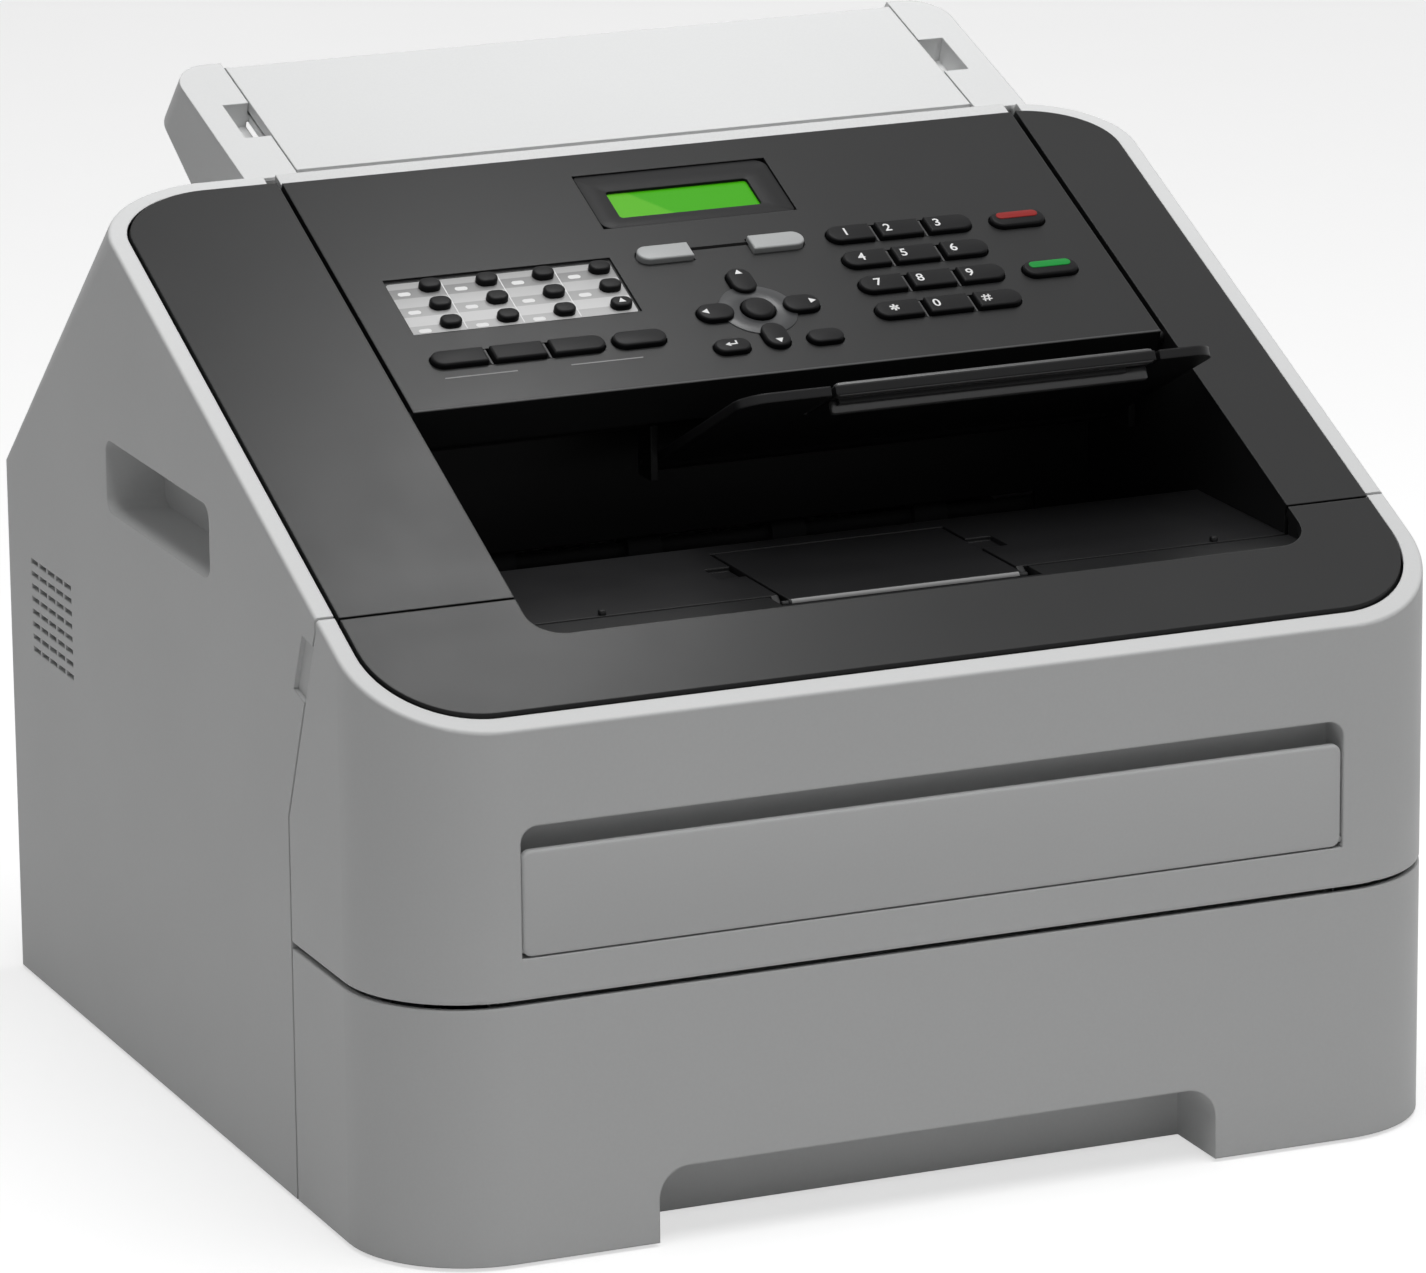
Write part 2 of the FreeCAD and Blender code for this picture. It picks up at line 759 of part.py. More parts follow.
def window(name, x, s, length, width, round_left=True, round_right=True):
    """Make the hole that a key of this size needs in the panel, in the panel's own frame."""
    n = ("-2 * deck_thickness", "2 * deck_thickness")
    radius = f"(({width}) / 2 + key_play)"
    left = f"({x}) - ({length}) / 2"
    right = f"({x}) + ({length}) / 2"
    if round_left:
        left = f"{left} + ({width}) / 2"
    if round_right:
        right = f"{right} - ({width}) / 2"
    ends = [rod(f"{name}_{k}", "z", (place, s), radius, n)
            for k, place in enumerate((left, right)) if (round_left, round_right)[k]]
    span = (left if round_left else f"{left} - key_play", right if round_right else f"{right} + key_play")
    return [box(f"{name}_bar", span, (f"({s}) - {radius}", f"({s}) + {radius}"), n), *ends]


def tall_window(name, x, s, length, width):
    """Make the hole for a key that is long up the slope, in the panel's own frame."""
    n = ("-2 * deck_thickness", "2 * deck_thickness")
    radius = f"(({width}) / 2 + key_play)"
    near = f"({s}) - ({length}) / 2 + ({width}) / 2"
    far = f"({s}) + ({length}) / 2 - ({width}) / 2"
    ends = [rod(f"{name}_{k}", "z", (x, place), radius, n) for k, place in enumerate((near, far))]
    return [box(f"{name}_bar", (f"({x}) - {radius}", f"({x}) + {radius}"), (near, far), n), *ends]


pieces = {}


def keep(name, item):
    """Name a finished piece of the model."""
    item.Label = name
    pieces[name] = item
    return item


def casing():
    """Make the outer shell and split it at its seams."""
    raw = hull("form", 0.0, 0.0, size("foot_height"))
    form = soften("form_soft", raw, "edge_round", on_slope)
    inside = hull("form_inside", size("wall"), size("wall"), -size("wall"))
    mouth = hull("deck_mouth", size("rim_width"), -2 * size("rim_width"), size("cassette_height"))
    shell = cut("shell", form, inside, mouth)
    high = f"({RIDGE_HEIGHT} + wall)"
    seam = [(f"{FRONT} - wall", "-wall"), (SIDE_SEAM, "-wall"), (SIDE_SEAM, "seam_kink_height"),
            (f"{SIDE_SEAM} - seam_lean", "seam_top_height"), (DECK_SEAM_Y, high), (f"{FRONT} - wall", high)]
    front = prism("front_zone", seam, (f"-{HALF} - wall", f"{HALF} + wall"))
    open_seam = [(f"{FRONT} - wall", "-wall")]
    open_seam += [(f"{y} + seam_gap", z) for y, z in seam[1:5]]
    open_seam += [(f"{FRONT} - wall", high)]
    gap = prism("front_zone_and_gap", open_seam, (f"-{HALF} - wall", f"{HALF} + wall"))
    return common("shell_front", shell, front), cut("shell_back", shell, gap)


def side_cover(name, shell_back, hand, parting):
    """Make a side cover with its handle recess, finger pocket and cut-outs; hand is -1 or 1."""
    outer = f"{HALF} + wall"
    span = (f"-({outer})", f"-({parting})") if hand < 0 else (parting, outer)
    wall_piece = common(f"{name}_wall", shell_back, box(f"{name}_zone", span, (FRONT, f"{BACK} + wall"),
                                                        ("-wall", f"{RIDGE_HEIGHT} + wall")))

    def reach(deep, shallow):
        return (f"-({shallow})", f"-({deep})") if hand < 0 else (deep, shallow)

    grip = box(f"{name}_grip", reach(f"{HALF} - handle_depth - wall", f"{HALF} - wall / 2"),
               ("-handle_front - wall", "handle_back + wall"), ("handle_low - wall", "handle_high + wall"))
    hollow = box(f"{name}_hollow", reach(f"{HALF} - handle_depth", f"{HALF} + wall"),
                 ("-handle_front", "handle_back"), ("handle_low", "handle_high"))
    edge = [(f"{seam_at('pocket_high')} - wall", "pocket_high"),
            (f"{seam_at('pocket_high')} + seam_gap + pocket_width", "pocket_high + pocket_depth"),
            (f"{seam_at('pocket_low')} + seam_gap + pocket_width", "pocket_low + 2 * pocket_depth"),
            (f"{seam_at('pocket_low')} - wall", "pocket_low")]
    pocket = prism(f"{name}_pocket", edge, reach(f"{HALF} - pocket_depth", f"{HALF} + wall"))
    soft = soften(f"{name}_soft_hollow", hollow, "handle_corner", along_x)
    holes = [soft, pocket]
    if hand < 0:
        holes.append(vents())
        holes.append(box("inlet_hole", (f"-{HALF} + wall", f"-{HALF} + wall + inlet_width"),
                         (f"{INNER_BACK} - wall", f"{BACK} + wall"),
                         ("inlet_low", "inlet_low + inlet_height")))
    else:
        holes += [box(f"socket_hole_{k}", (SOCKET_X, f"{SOCKET_X} + socket_width"),
                      (f"{INNER_BACK} - wall", f"{BACK} + wall"), (low, f"{low} + socket_width"))
                  for k, low in enumerate(SOCKET_LOWS)]
    for k, height in enumerate(("screw_low", "screw_high")):
        place = (f"{hand} * screw_x", height)
        holes.append(rod(f"{name}_screw_{k}", "y", place, "screw_radius + bearing_play",
                         (f"{INNER_BACK} - wall", f"{BACK} + wall")))
        holes.append(rod(f"{name}_head_{k}", "y", place, "screw_head + bearing_play",
                         (f"{BACK} - screw_head_height", f"{BACK} + wall")))
    return keep(name, cut(name, fuse(f"{name}_with_grip", wall_piece, grip), *holes))


def seam_at(height):
    """Give the place of the leaning side seam at a height, as a formula."""
    return f"({SIDE_SEAM} - seam_lean * ({height} - seam_kink_height) / (seam_top_height - seam_kink_height))"


SOCKET_X = f"({FRAME_OUT} + board_stand)"
SOCKET_LOWS = ("socket_low", "(socket_low + socket_pitch)")


def along_x(edge):
    """Tell whether a straight edge runs along X."""
    return abs(abs(edge.tangentAt(edge.FirstParameter).x) - 1) < 1e-6


def vents():
    """Make the cutters of the vent field, rows of short slots through the left wall."""
    item = doc.addObject("Part::Feature", "vent_slots")
    slots = []
    left = -size("width") / 2 - size("wall")
    for row in range(int(size("vent_rows"))):
        for column in range(int(size("vent_columns"))):
            corner = FreeCAD.Vector(left, size("vent_front") + column * size("vent_pitch_y"),
                                    size("vent_low") + row * size("vent_pitch_z"))
            slots.append(Part.makeBox(3 * size("wall"), size("vent_length"), size("vent_height"), corner))
    item.Shape = Part.makeCompound(slots)
    return item


def rear_housing(shell_back):
    """Make the rear wall and the slope behind the ridge, with the opening for the rear cover."""
    middle = common("rear_middle", shell_back,
                    box("rear_zone",
                        ("-well_left - well_wall + seam_gap / 2", "well_right + well_wall - seam_gap / 2"),
                        ("0", f"{BACK} + wall"), ("-wall", f"{RIDGE_HEIGHT} + wall")))
    room = slab("rear_room", (f"-{HALF}", HALF), ("bed_front", "strip_back + seam_gap"),
                ("-bed_depth - wall", "2 * wall"))
    opening = box("rear_opening", ("-rear_cover_left", "rear_cover_right"),
                  (f"{INNER_BACK} - wall", f"{BACK} + wall"), ("rear_cover_low", "rear_cover_high"))
    sides = [box(f"rear_lug_{k}", span, (f"{INNER_BACK} - 3 * rear_cover_hinge", INNER_BACK),
                 (f"{REAR_HINGE_Z} - 2 * rear_cover_hinge", f"{REAR_HINGE_Z} + 2 * rear_cover_hinge"))
             for k, span in enumerate((("-rear_cover_left - 2 * wall", "-rear_cover_left"),
                                       ("rear_cover_right", "rear_cover_right + 2 * wall")))]
    pin_hole = rod("rear_pin_hole", "x", (REAR_HINGE_Y, REAR_HINGE_Z), "door_pin + bearing_play",
                   ("-rear_cover_left - wall", "rear_cover_right + wall"))
    return keep("rear_housing",
                cut("rear_housing", fuse("rear_with_lugs", middle, *sides), room, opening, pin_hole))


def rear_cover():
    """Make the jam door in the rear wall, with its round hinge edge and two pins."""
    left, right = "-rear_cover_left + rear_cover_play", "rear_cover_right - rear_cover_play"
    leaf = box("rear_leaf", (left, right), (INNER_BACK, BACK),
               (REAR_HINGE_Z, "rear_cover_high - rear_cover_play"))
    edge = rod("rear_edge", "x", (REAR_HINGE_Y, REAR_HINGE_Z), "rear_cover_hinge", (left, right))
    pin = rod("rear_pin", "x", (REAR_HINGE_Y, REAR_HINGE_Z), "door_pin",
              (f"{left} - rear_cover_play - wall / 2", f"{right} + rear_cover_play + wall / 2"))
    ribs = [box(f"rear_rib_{k}", (f"{x} - wall / 2", f"{x} + wall / 2"),
                (f"{INNER_BACK} - 3 * wall", INNER_BACK),
                (f"{REAR_HINGE_Z} + 4 * wall", "rear_cover_high - 4 * wall"))
            for k, x in enumerate(("-rear_cover_left / 2", PANEL_MID, "rear_cover_right / 2 + 4 * wall"))]
    return keep("rear_cover", fuse("rear_cover", leaf, edge, pin, *ribs))


def front_cover(shell_front):
    """Make the front cover: shell, recess of the manual feed door and two hinge ears."""
    shell = common("cover_shell", shell_front, box("cover_zone", (f"-{HALF}", HALF), (FRONT, BACK),
                                                    (COVER_LOW, f"{RIDGE_HEIGHT} + wall")))
    back_face = f"({FRONT} + recess_depth)"
    recess = box("recess", ("-door_half - wall", "door_half + wall"),
                 (f"{FRONT} + wall / 2", f"{back_face} + wall"),
                 ("door_low - wall", "door_high + wall"))
    hollow = box("recess_hollow", ("-door_half", "door_half"), (f"{FRONT} - wall", back_face),
                 ("door_low", "door_high"))
    soft = soften("recess_soft", hollow, "door_corner",
                  lambda edge: along_y(edge) and edge.BoundBox.ZMin > size("door_leaf_top"))
    slot = box("feed_slot", ("-door_half + slot_margin", "door_half - slot_margin"),
               (FRONT, f"{back_face} + 2 * wall"),
               ("door_low + slot_drop", "door_low + slot_drop + slot_height"))
    ears = [box(f"cover_ear_{k}", span, (f"{FRONT} + wall / 2", f"{COVER_HINGE_Y} + 2 * pin_radius"),
                (f"{COVER_LOW} + cover_gap / 2", f"{COVER_HINGE_Z} + 2 * pin_radius"))
            for k, span in enumerate(COVER_EARS)]
    pin_hole = rod("cover_pin_hole", "x", (COVER_HINGE_Y, COVER_HINGE_Z), "pin_radius + pin_play",
                   (f"-{FRAME_OUT} - seam_gap - cover_ear", f"{FRAME_OUT} + seam_gap + cover_ear"))
    door_holes = [rod(f"door_pin_hole_{k}", "x", (DOOR_HINGE_Y, DOOR_HINGE_Z), "door_pin + bearing_play",
                      span)
                  for k, span in enumerate((("-door_half - 2 * wall", "-door_half + wall"),
                                            ("door_half - wall", "door_half + 2 * wall")))]
    body = fuse("cover_body", soften("cover_soft", shell, "edge_round", cover_sill), recess, *ears)
    opened = cut("cover_opened", body, soft, slot, pin_hole)
    return keep("front_cover", cut("front_cover", opened, *door_holes))


def cover_sill(edge):
    """Tell whether an edge is part of the front cover's lower outer edge."""
    low = size("cassette_height") + size("cover_gap")
    half = size("width") / 2
    front = -size("depth") / 2
    corner = size("front_corner")

    def outside(point):
        if abs(point.z - low) > 0.01:
            return False
        reach_x = max(abs(point.x) - (half - corner), 0.0)
        reach_y = max(front + corner - point.y, 0.0)
        on_side = abs(abs(point.x) - half) < 0.01 and reach_y < 0.01
        on_front = abs(point.y - front) < 0.01 and reach_x < 0.01
        return on_side or on_front or abs(math.hypot(reach_x, reach_y) - corner) < 0.01
    return all(outside(point) for point in edge.discretize(5))


def along_y(edge):
    """Tell whether a straight edge runs along Y."""
    return abs(abs(edge.tangentAt(edge.FirstParameter).y) - 1) < 1e-6


COVER_EARS = ((f"-{FRAME_OUT} - seam_gap - cover_ear", f"-{FRAME_OUT} - seam_gap"),
              (f"{FRAME_OUT} + seam_gap", f"{FRAME_OUT} + seam_gap + cover_ear"))


def manual_door():
    """Make the manual feed door with its round hinge edge and two pins."""
    left, right = "-door_half + door_play", "door_half - door_play"
    face = f"({DOOR_HINGE_Y} - door_hinge_in + door_play / 2)"
    leaf = box("door_leaf", (left, right), (face, f"{face} + door_thickness"),
               (DOOR_HINGE_Z, "door_leaf_top"))
    edge = rod("door_edge", "x", (DOOR_HINGE_Y, DOOR_HINGE_Z), "door_hinge_in - door_play / 2", (left, right))
    pin = rod("door_pins", "x", (DOOR_HINGE_Y, DOOR_HINGE_Z), "door_pin",
              ("-door_half - wall", "door_half + wall"))
    return keep("manual_feed_door", fuse("manual_feed_door", leaf, edge, pin))


def deck_plate():
    """Make the whole dark plate inside the rim, before it is parted."""
    inset = size("rim_width") + size("deck_gap")
    fill = hull("deck_fill", inset, -2 * inset, size("cassette_height"))
    skin = slab("deck_skin", (f"-{HALF}", HALF), ("0", "strip_back"), ("-deck_thickness", "deck_proud"))
    return common("deck_plate", fill, skin)


def well_cutter(name, s_from):
    """Make the cutter of the opening in the decks, its two front corners round."""
    left, right, s_to = "-well_left", "well_right", "strip_back + rim_width"
    n = ("-2 * deck_thickness", "4 * deck_thickness")
    blocks = [box(f"{name}_a", (f"{left} + well_corner", f"{right} - well_corner"), (s_from, s_to), n),
              box(f"{name}_b", (left, right), (f"{s_from} + well_corner", s_to), n)]
    blocks += [rod(f"{name}_{k}", "z", (x, f"{s_from} + well_corner"), "well_corner", n)
               for k, x in enumerate((f"{left} + well_corner", f"{right} - well_corner"))]
    return on_deck(fuse(name, *blocks))


def front_deck(plate):
    """Make the dark strip on the front cover, with the lip of the output well."""
    zone = slab("front_deck_zone", (f"-{HALF}", HALF), ("0", "deck_seam - seam_gap / 2"),
                ("-2 * deck_thickness", "2 * deck_thickness"))
    strip = cut("front_strip", common("front_strip_whole", plate, zone),
                well_cutter("front_well", "well_front"))
    back = f"({DECK_SEAM_Y} - seam_gap)"
    lip = box("front_lip", ("-well_left - well_wall", "well_right + well_wall"),
              (f"{LIP_Y} - wall", back), ("lip_height - deck_thickness", "lip_height"))
    cheeks = [box(f"front_cheek_{k}", span, (f"{LIP_Y} - wall", back),
                  ("lip_height - deck_thickness", RIDGE_HEIGHT))
              for k, span in enumerate(WELL_WALLS)]
    above = slab("front_above", (f"-{HALF}", HALF), ("0", "strip_back"), ("-deck_thickness / 2", DECK_REACH))
    finger = box("front_finger",
                 (f"{FLAP_LEFT} - 2 * flap_play - well_wall", f"{FLAP_RIGHT} + 2 * flap_play + well_wall"),
                 ("-flap_front - 4 * flap_play", back),
                 ("lip_height - 2 * deck_thickness", "lip_height + deck_thickness"))
    low_part = cut("front_lip_cut", fuse("front_lip_raw", lip, *cheeks), above, finger)
    return keep("front_deck", fuse("front_deck", strip, low_part))


WELL_WALLS = (("-well_left - well_wall", "-well_left"), ("well_right", "well_right + well_wall"))
FLAP_LEFT = "(flap_centre - flap_width / 2)"
FLAP_RIGHT = "(flap_centre + flap_width / 2)"
BED_TOP = "(-bed_depth + sheet_wall)"
DOC_OUT_EARS = (("-doc_out_left - sheet_wall - seam_gap", "-doc_out_left - seam_gap"),
                ("doc_out_right + seam_gap", "doc_out_right + seam_gap + sheet_wall"))
DOC_ROLLER_EARS = ((f"{PANEL_MID} - doc_bearing - doc_bearing_width", f"{PANEL_MID} - doc_bearing"),
                   (f"{PANEL_MID} + doc_bearing", f"{PANEL_MID} + doc_bearing + doc_bearing_width"))


def top_cover(plate):
    """Make the left and right decks, the walls of the output well and the bed of the document path."""
    zone = slab("top_deck_zone", (f"-{HALF}", HALF), ("deck_seam + seam_gap / 2", "strip_back"),
                ("-2 * deck_thickness", "2 * deck_thickness"))
    decks = cut("top_decks", common("top_decks_whole", plate, zone),
                slab("top_well", ("-well_left", "well_right"), ("0", "strip_back + rim_width"),
                     ("-2 * deck_thickness", "2 * deck_thickness")))
    above = slab("top_above", (f"-{HALF}", HALF), ("0", "strip_back"), ("-deck_thickness / 2", DECK_REACH))
    walls = [cut(f"well_wall_{k}", box(f"well_wall_raw_{k}", span, (WELL_WALL_Y, "floor_back + sheet_wall"),
                                       ("floor_back_height - sheet_wall", RIDGE_HEIGHT)), above)
             for k, span in enumerate(WELL_WALLS)]
    bed = slab("feeder_bed", ("-well_left - well_wall", "well_right + well_wall"), ("bed_front", "bed_back"),
               ("-bed_depth", BED_TOP))
    ears = [box(f"flap_ear_{k}", span,
                ("-doc_out_hinge_back - 6 * door_pin", "-doc_out_hinge_back + 3 * door_pin"),
                ("doc_out_hinge_height - 4 * door_pin", BED_OVER_HINGE))
            for k, span in enumerate(DOC_OUT_EARS)]
    bearings = [slab(f"roller_ear_{k}", span,
                     ("doc_roller_s - 2 * doc_roller_shaft", "doc_roller_s + 2 * doc_roller_shaft"),
                     ("-bed_depth", "-doc_roller_depth + 2 * doc_roller_shaft"))
                for k, span in enumerate(DOC_ROLLER_EARS)]
    ear_hole = rod("flap_ear_hole", "x", ("-doc_out_hinge_back", "doc_out_hinge_height"),
                   "door_pin + bearing_play",
                   ("-doc_out_left - 4 * sheet_wall", "doc_out_right + 4 * sheet_wall"))
    roller_hole = rod("roller_hole", "x", deck_point("doc_roller_s", "-doc_roller_depth"),
                      "doc_roller_shaft + bearing_play", ("-well_left", "well_right"))
    hinge_hole = rod("panel_hinge_hole", "x", deck_point(PANEL_HINGE_S, "-panel_hinge_down"),
                     "pin_radius + pin_play", ("-well_left - well_wall", "well_right + well_wall"))
    body = fuse("top_body", decks, *walls, bed, *ears, *bearings)
    return keep("top_cover", cut("top_cover", body, ear_hole, roller_hole, hinge_hole))


PANEL_HINGE_S = "(panel_front + panel_hinge_in)"
WELL_WALL_Y = f"({DECK_SEAM_Y} + seam_gap / 2 + deck_thickness * sin(deck_angle))"
BED_OVER_HINGE = ("(front_height - (bed_depth - sheet_wall) / cos(deck_angle)"
                  " + tan(deck_angle) * (depth / 2 - doc_out_hinge_back - 6 * door_pin))")


FLAP_HINGE = ("(-flap_front + flap_thickness / 2)", "(lip_height - flap_thickness / 2)")


def output_tray():
    """Make the floor of the output well with its flap's trough and pockets, and the back wall."""
    front = f"({DECK_SEAM_Y} + seam_gap / 2)"
    x = ("-well_left + seam_gap / 4", "well_right - seam_gap / 4")
    points = [(front, "lip_height"), ("floor_bend", "lip_height"), ("floor_back", "floor_back_height"),
              ("floor_back", "floor_back_height - sheet_wall"), ("floor_bend", "lip_height - sheet_wall"),
              (front, "lip_height - sheet_wall")]
    floor = prism("output_floor", points, x)
    low = "(lip_height - flap_well_depth)"
    trough_x = (f"{FLAP_LEFT} - flap_play - well_wall", f"{FLAP_RIGHT} + flap_play + well_wall")
    trough_y = ("-flap_front - 3 * flap_play", "-flap_end + flap_play + well_wall")
    shape = [(trough_y[0], "lip_height - flap_thickness - 3 * flap_play"), (front, "lip_height"),
             (trough_y[1], "lip_height"), (trough_y[1], f"{low} - sheet_wall"),
             (trough_y[0], f"{low} - sheet_wall")]
    trough = prism("flap_trough", shape, trough_x)
    room = box("flap_room", (f"{FLAP_LEFT} - flap_play", f"{FLAP_RIGHT} + flap_play"),
               (f"{trough_y[0]} + well_wall", f"{trough_y[1]} - well_wall"),
               (low, "lip_height + flap_well_depth"))
    pocket_y = ("-flap_end - pocket_from_end - pocket_length", "-flap_end - pocket_from_end")
    shells = box("pocket_shells",
                 (f"{FLAP_LEFT} - flap_play - pocket_width - well_wall",
                  f"{FLAP_RIGHT} + flap_play + pocket_width + well_wall"),
                 (f"{pocket_y[0]} - well_wall", f"{pocket_y[1]} + well_wall"),
                 ("lip_height - pocket_depth - sheet_wall", "lip_height"))
    pockets = box("finger_pockets",
                  (f"{FLAP_LEFT} - flap_play - pocket_width", f"{FLAP_RIGHT} + flap_play + pocket_width"),
                  pocket_y, ("lip_height - pocket_depth", "lip_height + wall"))
    back = box("output_back", x, ("floor_back", "floor_back + sheet_wall"),
               ("floor_back_height - sheet_wall", f"{BED_UNDER_BACK} - seam_gap / 2"))
    slot = box("exit_slot", ("-well_left + slot_margin", "well_right - slot_margin"),
               ("floor_back - wall", "floor_back + 2 * sheet_wall"), ("slot_low", "slot_high"))
    pins = rod("flap_pin_hole", "x", FLAP_HINGE, "door_pin + bearing_play",
               (f"{trough_x[0]} - wall", f"{trough_x[1]} + wall"))
    body = fuse("output_body", floor, trough, shells, back)
    return keep("output_tray", cut("output_tray", body, room, pockets, slot, pins))


BED_UNDER_BACK = "(front_height - bed_depth / cos(deck_angle) + tan(deck_angle) * (depth / 2 + floor_back))"


def output_flap():
    """Make the fold-up stop in the output floor, with a round front edge on two pins."""
    x = (FLAP_LEFT, FLAP_RIGHT)
    leaf = box("flap_leaf", x, (FLAP_HINGE[0], "-flap_end"), ("lip_height - flap_thickness", "lip_height"))
    knuckle = rod("flap_knuckle", "x", FLAP_HINGE, "flap_thickness / 2", x)
    pin = rod("flap_pins", "x", FLAP_HINGE, "door_pin",
              (f"{FLAP_LEFT} - flap_play - well_wall / 2", f"{FLAP_RIGHT} + flap_play + well_wall / 2"))
    return keep("output_flap", fuse("output_flap", leaf, knuckle, pin))


def document_output_flap():
    """Make the raised flap under the panel's front edge: leaf with round corners, two slits, hinge rod."""
    half = "doc_out_thickness / 2"
    left, right = "-doc_out_left", "doc_out_right"
    leaf = box("doc_out_leaf", (left, right), ("-doc_out_length", "0"), (f"-{half}", half))
    soft = soften("doc_out_soft", leaf, "doc_out_corner", lambda edge: along_z(edge)
                  and edge.BoundBox.YMax < -1)
    slits = [box(f"doc_out_slit_{k}", (f"{x} - doc_out_slit / 2", f"{x} + doc_out_slit / 2"),
                 ("-doc_out_length - wall", "-doc_out_length + doc_out_slit_depth"), ("-wall", "wall"))
             for k, x in enumerate(("doc_out_centre_left", "doc_out_centre_right"))]
    rail = box("doc_out_rail",
               ("doc_out_centre_left + 2 * doc_out_slit", "doc_out_centre_right - 6 * doc_out_slit"),
               ("-doc_out_length + 2 * wall", "-doc_out_length + 4 * wall"), ("-3 * wall / 2", "0"))
    knuckle = rod("doc_out_knuckle", "x", ("0", "0"), "doc_out_thickness", (left, right))
    pin = rod("doc_out_pins", "x", ("0", "0"), "door_pin",
              (f"{left} - seam_gap - sheet_wall", f"{right} + seam_gap + sheet_wall"))
    flap = fuse("document_output_flap", cut("doc_out_slitted", soft, *slits), rail, knuckle, pin)
    turned(flap, (-1, 0, 0), 1)
    bind(flap, Placement__Rotation__Angle="doc_out_angle")
    return keep("document_output_flap", at(flap, 0, "-doc_out_hinge_back", "doc_out_hinge_height"))


def along_z(edge):
    """Tell whether a straight edge runs along Z."""
    return abs(abs(edge.tangentAt(edge.FirstParameter).z) - 1) < 1e-6


def control_panel(windows):
    """Make the panel: plate with skirts, key holes, display hole, pale rear strip and two hinge pins."""
    left, right, front, back = "-panel_left", "panel_right", "panel_front", "panel_back"
    body = box("panel_block", (left, right), (front, back), ("-panel_skirt", "deck_proud"))
    hollow = box("panel_hollow", (f"{left} + panel_wall", f"{right} - panel_wall"),
                 (f"{front} + panel_wall", f"{back} - panel_wall"),
                 ("-2 * panel_skirt", "-deck_thickness"))
    back_room = box("panel_back_room", (left, right), (f"{back} - 2 * panel_wall", f"{back} + wall"),
                    ("-2 * panel_skirt", "-strip_depth"))
    strip = box("panel_strip", (left, right), (f"{back} - panel_wall", "strip_back"), ("-strip_depth", "0"))
    groove = box("panel_groove", (f"{left} - wall", f"{right} + wall"), (back, f"{back} + strip_groove"),
                 ("-strip_groove", "wall"))
    glass_hole = box("display_hole", ("-display_left - display_play", "display_right + display_play"),
                     ("display_front - display_play", "display_back + display_play"),
                     ("-wall - deck_thickness", "2 * wall"))
    pin = rod("panel_pins", "x", (PANEL_HINGE_S, "-panel_hinge_down"), "pin_radius",
              ("-well_left - well_wall", "well_right + well_wall"))
    pin_room = box("panel_pin_room", (f"{left} + panel_wall", f"{right} - panel_wall"),
                   (f"{front} + panel_wall", f"{front} + 4 * panel_wall"),
                   ("-panel_skirt", "-deck_thickness"))
    posts = [rod(f"panel_post_{k}", "z", (x, s), "boss_radius", ("-board_depth", "0"))
             for k, (x, s) in enumerate(POSTS)]
    card = box("panel_card", ("-memory_x - card_left", "-memory_x + card_right"),
               ("memory_s - card_front", "memory_s + card_back"),
               ("deck_proud - card_depth", "2 * deck_proud"))
    holed = cut("panel_holed", body, hollow, back_room, card)
    pins = cut("panel_pins_cut", pin, pin_room)
    whole = fuse("panel_whole", holed, strip, pins, *posts)
    return keep("control_panel", on_deck(cut("control_panel", whole, groove, glass_hole, *windows)))


POSTS = ((f"-panel_left + 2 * board_margin", "board_front + board_margin / 2"),
         (f"panel_right - 2 * board_margin", "board_front + board_margin / 2"),
         (f"-panel_left + 2 * board_margin", "board_back - board_margin"),
         (f"panel_right - 2 * board_margin", "board_back - board_margin"))


def display_board():
    """Make the key board with the display standing on it."""
    board = box("key_board", ("-panel_left + board_margin", "panel_right - board_margin"),
                ("board_front", "board_back"),
                ("-board_depth - board_thickness", "-board_depth"))
    display = box("display_block", ("-display_left", "display_right"), ("display_front", "display_back"),
                  ("-board_depth", "deck_proud - display_play"))
    return keep("display_board", on_deck(fuse("display_board", board, display)))


